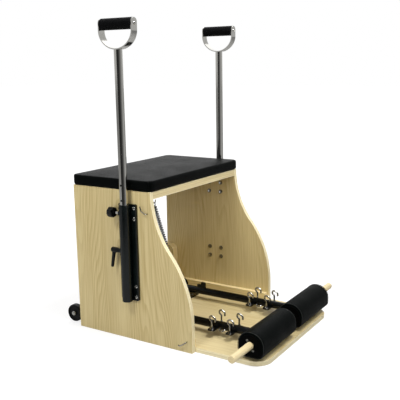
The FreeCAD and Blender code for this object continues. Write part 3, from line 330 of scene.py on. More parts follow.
    @cached_property
    def speckle(self) -> NodeTree:
        """Fine bumps of powder coat, foam or moulded plastic, as a height."""
        group, tree, given, out = self._open("Speckle", ("Vector", "Scale"), ("Height",))
        tree.feed(out, {"Height": tree.noise(given["Vector"], given["Scale"], roughness=0.55)})
        return group


EFFECTS = SharedEffects()


@dataclass(frozen=True)
class Finish:
    """A surface finish that makes its material once."""

    name: str

    @cached_property
    def material(self) -> Material:
        """The finish's material."""
        material, tree = blank_material(self.name)
        shader = tree.add("ShaderNodeBsdfPrincipled")
        tree.add("ShaderNodeOutputMaterial", {"Surface": shader.outputs[0]})
        self.fill(tree, shader, tree.add("ShaderNodeTexCoord").outputs["Object"])
        return material

    def fill(self, tree: ShaderTree, shader: Node, place: NodeSocket) -> None:
        """Join the finish's nodes to its shader.

        Args:
            tree: The material's tree.
            shader: The Principled shader.
            place: Object coordinates, in metres.
        """
        raise NotImplementedError


@dataclass(frozen=True)
class WoodFinish(Finish):
    """Wood with a figure along its grain and, on a laminated board's cut edges, a pale banding."""

    grain: Grain
    light: Colour = rgb(222, 204, 152)
    dark: Colour = rgb(180, 155, 96)
    figure: float = 0.36
    offset: Triple = (0.0, 0.0, 0.0)
    relief: float = 0.12
    relief_depth: float = 0.0004
    lacquer: float = 0.12
    lacquer_rough: float = 0.35
    band_axis: int | None = None
    band_low: float = 0.0
    band_high: float = 0.0
    band_light: Colour = rgb(248, 236, 196)
    band_dark: Colour = rgb(232, 216, 170)
    band_streaks: Triple = (420.0, 420.0, 5.0)
    streak_span: Span = (0.35, 0.7)
    skin: float = 0.0011
    joint_line: float = 0.0006
    joint_share: float = 0.5
    glue_line: float = 0.0009
    glue_share: float = 0.45
    # The next three paint a highlight along the band's rounded arrises: the band turns lighter within
    # this distance of a face.
    arris_highlight: float = 0.004
    arris_highlight_share: float = 0.8
    arris_highlight_colour: Colour = rgb(255, 246, 214)

    def fill(self, tree: ShaderTree, shader: Node, place: NodeSocket) -> None:
        """Join the figure, the banding and the line between them to the shader."""
        mapping = tree.add("ShaderNodeMapping", {
            "Vector": place, "Location": self.offset, "Rotation": self.grain.turn})
        figure = mapping.outputs[0]
        wood = tree.group(EFFECTS.wood, {
            "Vector": figure, "Light": self.light, "Dark": self.dark, "Figure": self.figure}).outputs
        colour = wood["Color"]
        if self.band_axis is not None:
            colour = self._banded(tree, place, figure, colour)
        tree.feed(shader, {
            "Base Color": colour, "Roughness": wood["Roughness"],
            "Coat Weight": self.lacquer, "Coat Roughness": self.lacquer_rough})
        tree.emboss(shader, wood["Height"], self.relief, self.relief_depth)

    def _banded(self, tree: ShaderTree, place: NodeSocket, figure: NodeSocket,
                face: NodeSocket) -> NodeSocket:
        """Lay the banding, with a painted highlight along its arrises, over a board's cut edges.

        Args:
            tree: The material's tree.
            place: Object coordinates.
            figure: Coordinates of the board's figure.
            face: Colour of the board's faces.

        Returns:
            The socket of the banded colour.
        """
        distance = tree.add("ShaderNodeSeparateXYZ", {0: place}).outputs[self.band_axis]
        if self.band_axis == X:
            distance = tree.math("ABSOLUTE", distance)
        from_low = tree.math("SUBTRACT", distance, self.band_low)
        from_high = tree.math("SUBTRACT", self.band_high, distance)
        depth = tree.math("MINIMUM", from_low, from_high)
        streaks = tree.noise(tree.stretch(figure, self.band_streaks), 1.0)
        band = tree.mix(tree.ramp(streaks, *self.streak_span), self.band_light, self.band_dark)
        line = tree.ramp(depth, self.skin - self.joint_line, self.skin)
        past = tree.ramp(depth, self.skin, self.skin + self.joint_line)
        joint = tree.math("MULTIPLY", tree.math("SUBTRACT", line, past), self.joint_share)
        half = (self.band_high - self.band_low) / 2
        from_middle = tree.math("ABSOLUTE", tree.math("SUBTRACT", from_low, half))
        glue = tree.math("MULTIPLY", tree.ramp(from_middle, self.glue_line, 0.0), self.glue_share)
        band = tree.mix(glue, band, self.dark)
        # Painted highlight: the band is lightened next to each face, along the arrises.
        arris_highlight = tree.math("MULTIPLY", tree.ramp(depth, self.arris_highlight, self.skin), self.arris_highlight_share)
        band = tree.mix(arris_highlight, band, self.arris_highlight_colour)
        return tree.mix(joint, tree.mix(line, face, band), self.dark)


@dataclass(frozen=True)
class HandledFinish(Finish):
    """A finish whose gloss changes slowly, where hands and cloths have been."""

    light: Colour
    dark: Colour
    clean: float
    dull: float
    mark_scale: float

    def marks(self, tree: ShaderTree, place: NodeSocket) -> Node:
        """Place the handling marks and return their node."""
        return tree.group(EFFECTS.handling, {
            "Vector": place, "Clean": self.clean, "Dull": self.dull, "Scale": self.mark_scale})


@dataclass(frozen=True)
class Upholstery(HandledFinish):
    """Black coated cloth with a fine pebbled grain."""

    # Colour on the pebbles, and a darker colour painted into the creases as shade.
    light: Colour = rgb(6, 8, 7)
    dark: Colour = rgb(3, 4, 4)
    clean: float = 0.39
    dull: float = 0.45
    mark_scale: float = 9.0
    specular: float = 0.036
    grain_scale: float = 520.0
    grain_depth: float = 0.0005
    strength: float = 0.28

    def fill(self, tree: ShaderTree, shader: Node, place: NodeSocket) -> None:
        """Join grain, gloss and colour to the shader."""
        hide = tree.group(EFFECTS.hide, {"Vector": place, "Scale": self.grain_scale})
        # The base colour darkens into the grain's creases: painted shade.
        tree.feed(shader, {
            "Base Color": tree.mix(hide.outputs["Crease"], self.light, self.dark),
            "Roughness": self.marks(tree, place).outputs["Roughness"],
            "Specular IOR Level": self.specular})
        tree.emboss(shader, hide.outputs["Height"], self.strength, self.grain_depth)


@dataclass(frozen=True)
class BlackFinish(HandledFinish):
    """Black paint, plastic, rubber or foam, with a fine speckled surface."""

    light: Colour = rgb(10, 17, 17)
    dark: Colour = rgb(6, 10, 10)
    clean: float = 0.17
    dull: float = 0.24
    mark_scale: float = 14.0
    specular: float = 0.34
    speckle_scale: float = 1500.0
    speckle_depth: float = 0.00025
    strength: float = 0.2

    def fill(self, tree: ShaderTree, shader: Node, place: NodeSocket) -> None:
        """Join speckle, gloss and colour to the shader."""
        marks = self.marks(tree, place).outputs
        speckle = tree.group(EFFECTS.speckle, {"Vector": place, "Scale": self.speckle_scale})
        tree.feed(shader, {
            "Base Color": tree.mix(marks["Mask"], self.dark, self.light),
            "Roughness": marks["Roughness"],
            "Specular IOR Level": self.specular})
        tree.emboss(shader, speckle.outputs["Height"], self.strength, self.speckle_depth)


@dataclass(frozen=True)
class BrightSteel(HandledFinish):
    """Polished or plated metal with faint lines of its polishing."""

    light: Colour = rgb(222, 221, 216)
    dark: Colour = rgb(188, 186, 179)
    clean: float = 0.07
    dull: float = 0.14
    mark_scale: float = 22.0
    lines: Triple = (900.0, 900.0, 2.0)
    line_span: Span = (0.3, 0.75)
    line_strength: float = 0.02
    line_depth: float = 0.0001

    def fill(self, tree: ShaderTree, shader: Node, place: NodeSocket) -> None:
        """Join polishing lines, gloss and colour to the shader."""
        lines = tree.noise(tree.stretch(place, self.lines), 1.0)
        tree.feed(shader, {
            "Base Color": tree.mix(tree.ramp(lines, *self.line_span), self.light, self.dark),
            "Roughness": self.marks(tree, place).outputs["Roughness"],
            "Metallic": 1.0})
        tree.emboss(shader, lines, self.line_strength, self.line_depth)


def dress(finish: Finish, nodes: Iterable[str]) -> None:
    """Give CAD nodes a finish in place of the one they came with.

    Args:
        finish: The finish to give.
        nodes: Names of the nodes.
    """
    for name in nodes:
        mesh = frame["nodes"][name].data
        mesh.materials.clear()
        mesh.materials.append(finish.material)
        LOG.info("%s: %s", name, finish.name)


def new_object(name: str, mesh: Mesh) -> Object:
    """Put a mesh into the scene as an object at the origin."""
    made = bpy.data.objects.new(name, mesh)
    bpy.context.scene.collection.objects.link(made)
    return made


def mesh_from(name: str, build: Callable[..., None], *measures: object) -> Mesh:
    """Make a mesh with bmesh.

    Args:
        name: The mesh's name.
        build: Function that shapes the empty bmesh it is given.
        *measures: What the function is given besides.

    Returns:
        The mesh, with its faces pointing outwards.
    """
    shape = bmesh.new()
    build(shape, *measures)
    bmesh.ops.recalc_face_normals(shape, faces=shape.faces)
    mesh = bpy.data.meshes.new(name)
    shape.to_mesh(mesh)
    shape.free()
    return mesh


def settled_mesh(made: Object) -> Mesh:
    """The object's mesh with its modifiers applied, as a new mesh."""
    graph = bpy.context.evaluated_depsgraph_get()
    graph.update()
    return bpy.data.meshes.new_from_object(made.evaluated_get(graph))


@dataclass(frozen=True)
class Stuffing:
    """How a padded form is filled: a short cloth simulation under pressure."""

    voxel: float
    pressure: float
    cap: float
    frames: int = 18

    def fill(self, name: str, mesh: Mesh, held: Callable[[Vector], bool]) -> Mesh:
        """Swell a closed form.

        Args:
            name: Name for the new mesh.
            mesh: The form to start from.
            held: Says of a point whether the cover is fastened there.

        Returns:
            The swollen mesh, subdivided once.
        """
        form = new_object(name + ".form", mesh)
        remesh = form.modifiers.new("Remesh", "REMESH")
        remesh.mode = "VOXEL"
        remesh.voxel_size = self.voxel
        remesh.adaptivity = 0.0
        cover = new_object(name + ".cover", settled_mesh(form))
        start = [vertex.co.copy() for vertex in cover.data.vertices]
        bpy.data.objects.remove(form)
        self._simulate(cover, [index for index, place in enumerate(start) if held(place)])
        graph = bpy.context.evaluated_depsgraph_get()
        moved = [vertex.co.copy() for vertex in cover.evaluated_get(graph).data.vertices]
        for vertex, before, after in zip(cover.data.vertices, start, moved):
            step = after - before
            if step.length > self.cap:
                step *= self.cap / step.length
            vertex.co = before + step
        cover.modifiers.clear()
        finer = cover.modifiers.new("Finer", "SUBSURF")
        finer.levels = 1
        finer.render_levels = 1
        result = settled_mesh(cover)
        bpy.data.objects.remove(cover)
        bpy.context.scene.frame_set(1)
        return result

    def _simulate(self, cover: Object, held: list[int]) -> None:
        """Run the cloth on a cover whose held points stay where they are."""
        pins = cover.vertex_groups.new(name="held")
        pins.add(held, 1.0, "REPLACE")
        cloth = cover.modifiers.new("Cloth", "CLOTH")
        settings = cloth.settings
        settings.quality = 4
        settings.mass = 0.25
        settings.tension_stiffness = 20.0
        settings.compression_stiffness = 20.0
        settings.shear_stiffness = 8.0
        settings.bending_stiffness = 1.0
        settings.use_pressure = True
        settings.uniform_pressure_force = self.pressure
        settings.vertex_group_mass = "held"
        settings.effector_weights.gravity = 0.0
        cloth.point_cache.frame_start = 1
        cloth.point_cache.frame_end = self.frames
        for step in range(1, self.frames + 1):
            bpy.context.scene.frame_set(step)


def padded_block(shape: BMesh, low: Vector, high: Vector,
                 bevels: Sequence[tuple[Callable[[Vector, Vector], bool], float, int]]) -> None:
    """Make a block and round some of its edges.

    Args:
        shape: The bmesh to build in.
        low: Lowest corner.
        high: Highest corner.
        bevels: Tests of an edge's middle and direction, each with a radius and a number of segments.
    """
    size = high - low
    matrix = Matrix.Translation((low + high) / 2) @ Matrix.Diagonal((*size, 1.0))
    bmesh.ops.create_cube(shape, size=1.0, matrix=matrix)
    for test, radius, segments in bevels:
        edges = []
        for edge in shape.edges:
            first, second = (vertex.co for vertex in edge.verts)
            if test((first + second) / 2, (second - first).normalized()):
                edges.append(edge)
        bmesh.ops.bevel(shape, geom=edges, offset=radius, offset_type="OFFSET", segments=segments,
                        profile=0.5, affect="EDGES", material=-1)


def smooth_faces(mesh: Mesh) -> None:
    """Shade a mesh smooth."""
    mesh.polygons.foreach_set("use_smooth", [True] * len(mesh.polygons))


@dataclass
class SeatCushion:
    """The seat's cushion: a crowned form with a rolled rim and a pleat at each corner."""

    finish: Finish
    corner: float = 0.028
    rim: float = 0.007
    foot: float = 0.004
    # The form stays inside the solid by its room. Below zero, it stands out of the solid.
    side_room: float = -0.0055
    top_room: float = 0.0035
    waist: float = 0.0016
    pleat_reach: float = 0.04
    pleat_depth: float = 0.0034
    pleat_width: float = 0.0032
    pleat_ears: float = 0.0016
    pleat_top: float = 0.35
    ear_place: float = 2.2
    ear_width: float = 1.4
    stuffing: Stuffing = Stuffing(voxel=0.005, pressure=2.5, cap=0.006)

    @cached_property
    def box(self) -> tuple[Vector, Vector]:
        """Lowest and highest corner of the cushion's solid."""
        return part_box("seat_cushion")

    def build(self) -> Object:
        """Make the cushion, fasten it on the chair and return it."""
        low, high = self.box
        room = Vector((self.side_room, self.side_room, 0.0))
        start_low = low + room
        start_high = high - room - Vector((0.0, 0.0, self.top_room))

        def upright(_: Vector, along: Vector) -> bool:
            """Tell a corner's edge."""
            return abs(along.z) > ALONG

        def top_rim(middle: Vector, along: Vector) -> bool:
            """Tell an edge of the top."""
            return middle.z > start_high.z - NEAR and abs(along.z) < SQUARE

        def foot_rim(middle: Vector, along: Vector) -> bool:
            """Tell an edge of the underside."""
            return middle.z < start_low.z + NEAR and abs(along.z) < SQUARE

        bevels = ((upright, self.corner, 6), (top_rim, self.rim, 5), (foot_rim, self.foot, 2))
        form = mesh_from("cushion_form", padded_block, start_low, start_high, bevels)

        def held(place: Vector) -> bool:
            """Tell a point on the foot or on the stitched rim."""
            from_side = min(place.x - start_low.x, start_high.x - place.x,
                            place.y - start_low.y, start_high.y - place.y)
            on_rim = from_side < self.rim and place.z > start_high.z - self.rim
            return on_rim or place.z < low.z + self.stuffing.voxel

        mesh = self.stuffing.fill("cushion", form, held)
        self._pull_in(mesh)
        self._pleat(mesh)
        smooth_faces(mesh)
        mesh.materials.append(self.finish.material)
        cushion = new_object("seat_cushion_cover", mesh)
        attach(cushion, "chair")
        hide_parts("seat_cushion")
        LOG.info("%s: %d faces", cushion.name, len(mesh.polygons))
        return cushion

    def _pull_in(self, mesh: Mesh) -> None:
        """Draw the swollen cover's sides in between the corners."""
        low, high = self.box
        for vertex in mesh.vertices:
            place = vertex.co
            for axis, other in ((X, Y), (Y, X)):
                middle = (low[axis] + high[axis]) / 2
                off_middle = 2 * (place[other] - low[other]) / (high[other] - low[other]) - 1.0
                pull = self.waist * max(0.0, 1.0 - off_middle ** 2)
                place[axis] -= pull * (place[axis] - middle) / (high[axis] - middle)

    def _pleat(self, mesh: Mesh) -> None:
        """Fold the swollen cover at the four corners and lay its foot flat."""
        low, high = self.box
        shoulder = high.z - self.top_room - self.rim * self.pleat_top
        for vertex in mesh.vertices:
            place = vertex.co
            place.z = max(place.z, low.z)
            inward = Vector((1.0 if place.x < (low.x + high.x) / 2 else -1.0,
                             1.0 if place.y < (low.y + high.y) / 2 else -1.0, 0.0)).normalized()
            corner = Vector((low.x if inward.x > 0 else high.x,
                             low.y if inward.y > 0 else high.y, place.z))
            from_corner = place - corner
            if from_corner.length > self.pleat_reach:
                continue
            across = from_corner.cross(inward).z
            along = from_corner.dot(inward)
            fade = max(0.0, 1.0 - along / self.pleat_reach) ** 0.5
            height = min(1.0, max(0.0, (shoulder - place.z) / self.rim + 1.0))
            fold = math.exp(-(across / self.pleat_width) ** 2)
            from_ear = abs(across) / self.pleat_width - self.ear_place
            ear = math.exp(-(from_ear / self.ear_width) ** 2)
            push = self.pleat_depth * fold - self.pleat_ears * ear
            vertex.co = place + inward * (push * fade * height)


def pivot_height(side: Side) -> float:
    """Height of a pedal's pivot axis above the floor, from its joint."""
    pedal = side.node("pedal")
    return next(joint["pos_m"][Z] for joint in frame["joints"] if joint["child"] == pedal)


@dataclass
class PedalPad:
    """One pedal's pad: a loaf-shaped cover with piping round both ends."""

    side: Side
    finish: Finish
    # Finish of the piping, whose grey, paler than the pad, is a painted highlight.
    highlit_piping_finish: Finish
    top_radius: float = 0.052
    bottom_radius: float = 0.030
    room: float = 0.0025
    end_round: float = 0.006
    piping: float = 0.0022
    piping_set_in: float = 0.0044
    arm_radius: float = 0.0163
    arm_dimple: float = 0.004
    dimple_fade: float = 0.006
    piping_round: float = 0.42
    stuffing: Stuffing = Stuffing(voxel=0.0045, pressure=3.0, cap=0.0035)

    @cached_property
    def box(self) -> tuple[Vector, Vector]:
        """Lowest and highest corner of the pad's solid."""
        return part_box(self.side.node("pedal_pad"))

    def build(self) -> list[Object]:
        """Make the pad and its piping, fasten them on the pedal and return them."""
        node = self.side.node("pedal_pad")
        low, high = self.box
        form = mesh_from(node + "_form", self._loaf, low, high, self.room, self.end_round)

        def held(place: Vector) -> bool:
            """Tell a point at an end or on the underside."""
            at_end = min(place.x - low.x, high.x - place.x) < self.stuffing.voxel
            return at_end or place.z < low.z + self.room + self.stuffing.voxel / 2

        mesh = self.stuffing.fill(node, form, held)
        self._tuck(mesh)
        smooth_faces(mesh)
        mesh.materials.append(self.finish.material)
        pad = new_object(node + "_cover", mesh)
        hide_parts(node)
        pieces = [pad, self._piping()]
        for piece in pieces:
            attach(piece, self.side.node("pedal"))
            LOG.info("%s: %d faces", piece.name, len(piece.data.polygons))
        return pieces

    def _loaf(self, shape: BMesh, low: Vector, high: Vector, room: float, end: float) -> None:
        """Shape the loaf.

        Args:
            shape: The bmesh to build in.
            low: Lowest corner of the pad's solid.
            high: Highest corner of the pad's solid.
            room: How far the form stays inside the solid, apart from its ends.
            end: Rounding of the rims at the two ends, or zero.
        """
        inset = Vector((0.0, room, room))

        def top(middle: Vector, along: Vector) -> bool:
            """Tell a long upper edge."""
            return abs(along.x) > ALONG and middle.z > (low.z + high.z) / 2

        def bottom(middle: Vector, along: Vector) -> bool:
            """Tell a long lower edge."""
            return abs(along.x) > ALONG and middle.z < low.z + room + NEAR

        def rims(_: Vector, along: Vector) -> bool:
            """Tell an edge round an end."""
            return abs(along.x) < SQUARE

        bevels = [(top, self.top_radius - room, 12), (bottom, self.bottom_radius - room, 6)]
        if end > 0.0:
            bevels.append((rims, end, 3))
        padded_block(shape, low + inset, high - inset, bevels)

    def _tuck(self, mesh: Mesh) -> None:
        """Keep the swollen cover's ends flat and draw it in round the arm."""
        low, high = self.box
        arm_low, arm_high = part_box(self.side.node("pedal_arm"))
        centre_x = (arm_low.x + arm_high.x) / 2
        centre_z = pivot_height(self.side)
        for vertex in mesh.vertices:
            place = vertex.co
            place.x = min(max(place.x, low.x), high.x)
            place.z = max(place.z, low.z)
            if place.y > (low.y + high.y) / 2:
                away = math.hypot(place.x - centre_x, place.z - centre_z) - self.arm_radius
                place.y -= self.arm_dimple * math.exp(-(max(away, 0.0) / self.dimple_fade) ** 2)

    def _piping(self) -> Object:
        """Make the piping that edges both ends of the pad, as one object."""
        low, high = self.box

        def rings(shape: BMesh) -> None:
            """Add an open band of the loaf's outline near each end."""
            inset = self.piping_set_in - self.piping
            gap = self.piping / 4
            for start in (low.x + gap, high.x - self.piping - gap):
                ring_low = Vector((start, low.y, low.z))
                ring_high = Vector((start + self.piping, high.y, high.z))
                band = mesh_from("band", self._loaf, ring_low, ring_high, inset, 0.0)
                before = set(shape.faces)
                shape.from_mesh(band)
                bpy.data.meshes.remove(band)
                made = [face for face in shape.faces if face not in before]
                caps = [face for face in made if abs(face.normal.x) > ALONG]
                bmesh.ops.delete(shape, geom=caps, context="FACES_ONLY")

        mesh = mesh_from(self.side.node("pad_piping"), rings)
        piece = new_object(self.side.node("pad_piping"), mesh)
        wall = piece.modifiers.new("Wall", "SOLIDIFY")
        wall.thickness = self.piping
        wall.offset = -1.0
        rounding = piece.modifiers.new("Round", "BEVEL")
        rounding.width = self.piping * self.piping_round
        rounding.segments = 3
        rounding.limit_method = "ANGLE"
        smooth_faces(mesh)
        mesh.materials.append(self.highlit_piping_finish.material)
        return piece


@dataclass
class Carcase:
    """The wooden boards."""

    panel_pith: float = 0.36
    panel_heart: float = 0.16
    panel_shift: float = 0.02

    def dress(self) -> None:
        """Give every board its figure and banding."""
        for side in Side:
            pith = (-side.value * self.panel_pith, -self.panel_heart - side.value * self.panel_shift, 0.0)
            panel = WoodFinish(f"panel laminate {side.name.lower()}", Grain.ALONG_Z, offset=pith,
                               **self._band("side_panel_right", X))
            dress(panel, [side.node("side_panel")])
        base = WoodFinish("base laminate", Grain.ALONG_Y, light=rgb(222, 206, 160),
                          offset=(0.13, 0.0, 0.4), **self._band("base_board", Z))
        dress(base, ["base_board"])
        seat = WoodFinish("seat laminate", Grain.ALONG_X, offset=(0.0, 0.3, 0.0),
                          band_light=rgb(236, 220, 172), band_dark=rgb(216, 196, 144),
                          **self._band("seat_board", Z))
        dress(seat, ["seat_board"])
        for stem, grain, offset in (("base_cleat", Grain.ALONG_Y, (0.7, 0.1, 0.0)),
                                    ("rear_post", Grain.ALONG_Z, (0.4, 0.8, 0.0))):
            batten = WoodFinish(stem + " laminate", grain, offset=offset,
                                band_light=rgb(240, 220, 166), band_dark=rgb(224, 200, 144),
                                **self._band(Side.RIGHT.node(stem), X))
            dress(batten, [side.node(stem) for side in Side])
        back = WoodFinish("back laminate", Grain.ALONG_X, offset=(0.2, 0.0, 0.5))
        dress(back, ["lower_back_board"])

    @staticmethod
    def _band(node: str, axis: int) -> dict[str, float]:
        """The banding's place on a board whose thickness runs along an axis."""
        low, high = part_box(node)
        return {"band_axis": axis, "band_low": low[axis], "band_high": high[axis]}


@dataclass
class Hardware:
    """The metal, plastic and rubber pieces, which keep their CAD shapes."""

    coat: Finish = BlackFinish("powder coat")
    plastic: Finish = BlackFinish(
        "moulded plastic", light=rgb(6, 7, 7), dark=rgb(3, 4, 4), clean=0.3, dull=0.42, specular=0.3,
        speckle_scale=900.0, strength=0.25)
    paint: Finish = BlackFinish(
        "black paint", light=rgb(9, 11, 11), dark=rgb(5, 7, 7), specular=0.2)
    matt: Finish = BlackFinish(
        "black board", light=rgb(4, 4, 4), dark=rgb(2, 2, 2), clean=0.6, dull=0.75, specular=0.05,
        speckle_scale=1100.0, strength=0.3)
    rubber: Finish = BlackFinish(
        "rubber", light=rgb(8, 8, 8), dark=rgb(4, 4, 4), clean=0.42, dull=0.58, specular=0.24,
        speckle_scale=700.0, strength=0.35)
    foam: Finish = BlackFinish(
        "foam grip", light=rgb(6, 6, 7), dark=rgb(3, 3, 4), clean=0.62, dull=0.78, specular=0.12,
        speckle_scale=1100.0, speckle_depth=0.0006, strength=0.5)
    polished: Finish = BrightSteel("polished steel")
    plated: Finish = BrightSteel(
        "plated steel", light=rgb(212, 211, 206), dark=rgb(180, 178, 172), clean=0.08, dull=0.16,
        lines=(260.0, 260.0, 260.0), line_strength=0.03)
    chrome: Finish = BrightSteel(
        "chromed wire", light=rgb(186, 185, 181), dark=rgb(140, 139, 135), clean=0.05, dull=0.1,
        lines=(260.0, 260.0, 260.0), line_strength=0.02)
    zinc: Finish = BrightSteel(
        "dull zinc", light=rgb(150, 150, 147), dark=rgb(118, 118, 116), clean=0.34, dull=0.5,
        lines=(300.0, 300.0, 300.0), line_strength=0.05)
    spring: Finish = BlackFinish(
        "spring lacquer", light=rgb(8, 8, 8), dark=rgb(3, 3, 3), clean=0.3, dull=0.42, specular=0.2)
    blued: Finish = BrightSteel(
        "blued steel", light=rgb(154, 148, 134), dark=rgb(104, 99, 88), clean=0.28, dull=0.4,
        lines=(300.0, 300.0, 300.0), line_strength=0.05)
    dowel: Finish = WoodFinish(
        "turned dowel", Grain.ALONG_X, light=rgb(234, 217, 172), dark=rgb(206, 183, 132), figure=0.22,
        relief=0.2, lacquer=0.0)

    def dress(self) -> None:
        """Give every node of the hardware its finish."""
        dress(self.coat, self._pairs("handle_sleeve"))
        dress(self.paint, self._pairs("pedal_arm", "pedal_crossbars", "pivot_bracket", "wheel_bracket"))
        dress(self.blued, ["sleeve_nuts"])
        dress(self.plastic, self._pairs("star_knob", "clamp_lever", "pivot_bushes") + ["sleeve_bushes"])
        dress(self.matt, self._pairs("pad_end_plates", "pad_core"))
        dress(self.rubber, self._pairs("wheel") + ["pedal_stops"])
        dress(self.foam, self._pairs("handle_grip"))
        dress(self.polished, self._pairs("pole", "handle_strap"))
        dress(self.plated, self._pairs("grip_screws", "star_knob_stem")
              + ["sleeve_bolts", "pivot_bolts", "wheel_axles"])
        dress(self.chrome, self._pairs("pedal_hooks") + ["panel_hooks"])
        dress(self.zinc, self._pairs("pad_screws") + ["bracket_screws", "spring_fittings"])
        dress(self.spring, ["parked_spring"])
        dress(self.dowel, self._pairs("foot_dowel"))

    @staticmethod
    def _pairs(*stems: str) -> list[str]:
        """Names of the left and right nodes of some stems."""
        return [side.node(stem) for stem in stems for side in Side]


@dataclass
class Lamp:
    """One soft box."""

    name: str
    place: Triple
    aim: Triple
    size: float
    power: float
    mirrored: bool = False

    def build(self) -> None:
        """Hang the lamp and turn it to its aim."""
        light = bpy.data.lights.new(self.name, "AREA")
        light.shape = "SQUARE"
        light.size = self.size
        light.energy = self.power
        lamp = bpy.data.objects.new(self.name, light)
        lamp.location = self.place
        lamp.visible_glossy = self.mirrored
        aim = Vector(self.aim) - Vector(self.place)
        lamp.rotation_euler = aim.to_track_quat("-Z", "Y").to_euler()
        bpy.context.scene.collection.objects.link(lamp)


@dataclass
class Card:
    """An upright curved card round the object, which only the object's gloss shows."""

    name: str
    start: float
    fade: float
    end: float
    radius: float
    height: float
    start_glow: float
    end_glow: float
    top_gain: float = 1.0
    gain_from: float = 1.0
    steps: int = 48

    def build(self, ahead: float) -> None:
        """Stand the card up.

        Args:
            ahead: The camera's bearing in degrees, from which the card's own bearings count.
        """
        def arc(shape: BMesh) -> None:
            """Sweep an upright edge round the object."""
            turn = Matrix.Rotation(math.radians(ahead + self.start), 3, "Z")
            foot = turn @ Vector((self.radius, 0.0, 0.0))
            ends = [shape.verts.new(foot), shape.verts.new(foot + Vector((0.0, 0.0, self.height)))]
            edge = shape.edges.new(ends)
            bmesh.ops.spin(shape, geom=[*ends, edge], cent=(0.0, 0.0, 0.0), axis=(0.0, 0.0, 1.0),
                           angle=math.radians(self.end - self.start), steps=self.steps, use_merge=False)

        card = new_object(self.name, mesh_from(self.name, arc))
        card.visible_camera = False
        card.visible_diffuse = False
        card.visible_transmission = False
        card.visible_shadow = False
        card.data.materials.append(self._material(ahead))

    def _material(self, ahead: float) -> Material:
        """Make a glow that stays the same from the card's start and then changes towards its end."""
        material, tree = blank_material(self.name)
        place = tree.add("ShaderNodeTexCoord").outputs["Object"]
        turned = tree.add("ShaderNodeMapping", {
            "Vector": place, "Rotation": (0.0, 0.0, -math.radians(ahead + self.fade))})
        axes = tree.add("ShaderNodeSeparateXYZ", {0: turned.outputs[0]}).outputs
        bearing = tree.math("ARCTAN2", axes[Y], axes[X])
        glow = tree.ramp(bearing, 0.0, math.radians(self.end - self.fade), self.start_glow, self.end_glow)
        rise = tree.ramp(axes[Z], self.gain_from, self.height, 1.0, self.top_gain)
        glow = tree.math("MULTIPLY", glow, rise)
        light = tree.add("ShaderNodeEmission", {"Strength": glow})
        tree.add("ShaderNodeOutputMaterial", {"Surface": light.outputs[0]})
        return material


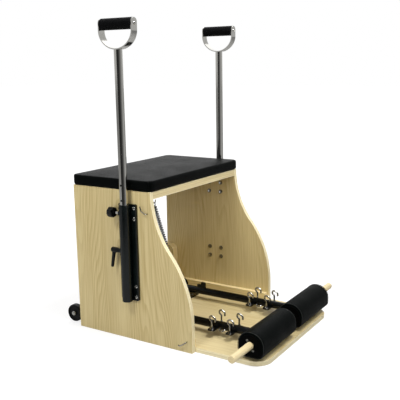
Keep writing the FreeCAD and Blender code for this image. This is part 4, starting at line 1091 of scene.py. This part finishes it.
@dataclass
class Studio:
    """The pale floor, the lights and the camera."""

    floor_size: float = 60.0
    floor_colour: Colour = (0.36, 0.36, 0.36, 1.0)
    floor_glow: float = 0.74
    floor_near: float = 1.1
    floor_far: float = 3.4
    floor_mirrored: float = 0.2
    sky_mirrored: float = 0.55
    fill_light: float = 0.15
    camera_place: Triple = (-2.2567, -1.4564, 1.0567)
    camera_yaw: float = -58.23
    camera_pitch: float = 11.43
    camera_roll: float = -0.71
    focal_pixels: float = 660.2
    image_pixels: float = 400.0
    centre_pixel: Span = (209.2, 199.9)
    sensor: float = 36.0
    lamps: Sequence[Lamp] = (
        Lamp("top box", place=(-0.1, -1.3, 3.2), aim=(0.0, -0.1, 0.3), size=1.0, power=75.0,
             mirrored=True),
        Lamp("left box", place=(-2.4, 0.1, 3.1), aim=(0.0, 0.0, 0.4), size=0.8, power=46.0),
        Lamp("left wash", place=(-2.7, 0.45, 0.55), aim=(-0.3, 0.2, 0.3), size=1.2, power=18.5),
        Lamp("front box", place=(-1.1, -2.7, 2.4), aim=(0.0, 0.0, 0.35), size=1.3, power=35.0),
        Lamp("rear box", place=(2.2, 2.2, 2.3), aim=(0.0, 0.0, 0.35), size=1.8, power=46.0),
    )
    cards: Sequence[Card] = (
        Card("dark card", start=-46.0, fade=-10.0, end=95.0, radius=1.9, height=2.6, start_glow=0.03,
             end_glow=0.5),
        Card("back card", start=140.0, fade=140.0, end=225.0, radius=5.0, height=9.0, start_glow=1.0,
             end_glow=1.0, top_gain=2.6),
    )

    def build(self) -> None:
        """Set up the whole studio."""
        bpy.context.scene.view_settings.view_transform = "Standard"
        self._floor()
        self._world()
        for card in self.cards:
            card.build(self.camera_yaw - 90.0)
        for lamp in self.lamps:
            lamp.build()
        self._camera()

    def _floor(self) -> None:
        """Lay the floor, which glows a little to the camera so that it meets the backdrop."""
        def square(shape: BMesh) -> None:
            """Add the floor's one face."""
            bmesh.ops.create_grid(shape, x_segments=1, y_segments=1, size=self.floor_size / 2)

        floor = new_object("floor", mesh_from("floor", square))
        material, tree = blank_material("floor")
        path = tree.add("ShaderNodeLightPath").outputs
        place = tree.add("ShaderNodeTexCoord").outputs["Object"]
        away = tree.add("ShaderNodeVectorMath", {0: place}, operation="LENGTH").outputs["Value"]
        glow = tree.ramp(away, self.floor_near, self.floor_far, self.floor_glow, 1.0)
        mirrored = tree.math("MULTIPLY", path["Is Glossy Ray"], self.floor_mirrored)
        seen = tree.math("MAXIMUM", path["Is Camera Ray"], mirrored)
        glow = tree.math("MULTIPLY", seen, glow)
        plain = tree.add("ShaderNodeBsdfDiffuse", {"Color": self.floor_colour})
        lit = tree.add("ShaderNodeEmission", {"Strength": glow})
        both = tree.add("ShaderNodeAddShader", {0: plain.outputs[0], 1: lit.outputs[0]})
        tree.add("ShaderNodeOutputMaterial", {"Surface": both.outputs[0]})
        floor.data.materials.append(material)

    def _world(self) -> None:
        """Make a white backdrop that lights the object only softly."""
        world = bpy.data.worlds.new("studio")
        bpy.context.scene.world = world
        world.use_nodes = True
        world.node_tree.nodes.clear()
        tree = ShaderTree(world.node_tree)
        path = tree.add("ShaderNodeLightPath").outputs
        seen = tree.math("MAXIMUM", path["Is Camera Ray"], path["Is Transmission Ray"])
        mirrored = tree.math("MULTIPLY", path["Is Glossy Ray"], self.sky_mirrored)
        strength = tree.math("MAXIMUM", tree.math("MAXIMUM", seen, mirrored), self.fill_light)
        backdrop = tree.add("ShaderNodeBackground", {"Color": (1.0, 1.0, 1.0, 1.0), "Strength": strength})
        tree.add("ShaderNodeOutputWorld", {"Surface": backdrop.outputs[0]})

    def _camera(self) -> None:
        """Place the camera at the photograph's angle."""
        data = bpy.data.cameras.new("camera")
        data.sensor_width = self.sensor
        data.sensor_fit = "HORIZONTAL"
        data.lens = self.focal_pixels * self.sensor / self.image_pixels
        data.shift_x = (self.image_pixels / 2 - self.centre_pixel[0]) / self.image_pixels
        data.shift_y = (self.centre_pixel[1] - self.image_pixels / 2) / self.image_pixels
        angles = (self.camera_yaw, self.camera_pitch, self.camera_roll)
        yaw, pitch, roll = (math.radians(angle) for angle in angles)
        flat = math.cos(pitch)
        back = Vector((math.sin(yaw) * flat, -math.cos(yaw) * flat, math.sin(pitch)))
        level = Vector((math.cos(yaw), math.sin(yaw), 0.0))
        upward = back.cross(level)
        right = level * math.cos(roll) + upward * math.sin(roll)
        above = back.cross(right)
        turn = Matrix((right, above, back)).transposed().to_4x4()
        camera = bpy.data.objects.new("camera", data)
        camera.matrix_world = Matrix.Translation(self.camera_place) @ turn
        bpy.context.scene.collection.objects.link(camera)
        bpy.context.scene.camera = camera


def main() -> None:
    """Dress the chair, upholster it and set up the studio."""
    logging.basicConfig(level=logging.INFO, format="%(name)s: %(message)s")
    vinyl = Upholstery("cushion vinyl")
    pad_vinyl = Upholstery("pad vinyl", light=rgb(8, 11, 10), dark=rgb(4, 6, 6), clean=0.46, dull=0.58,
                           specular=0.03)
    # The piping's grey, paler than the pad's black, is a painted highlight along the pad's ends.
    piping = Upholstery("piping vinyl", light=rgb(30, 34, 33), dark=rgb(20, 23, 22), specular=0.3)
    Carcase().dress()
    Hardware().dress()
    SeatCushion(vinyl).build()
    for side in Side:
        PedalPad(side, pad_vinyl, piping).build()
    Studio().build()


if __name__ == "__main__":
    main()
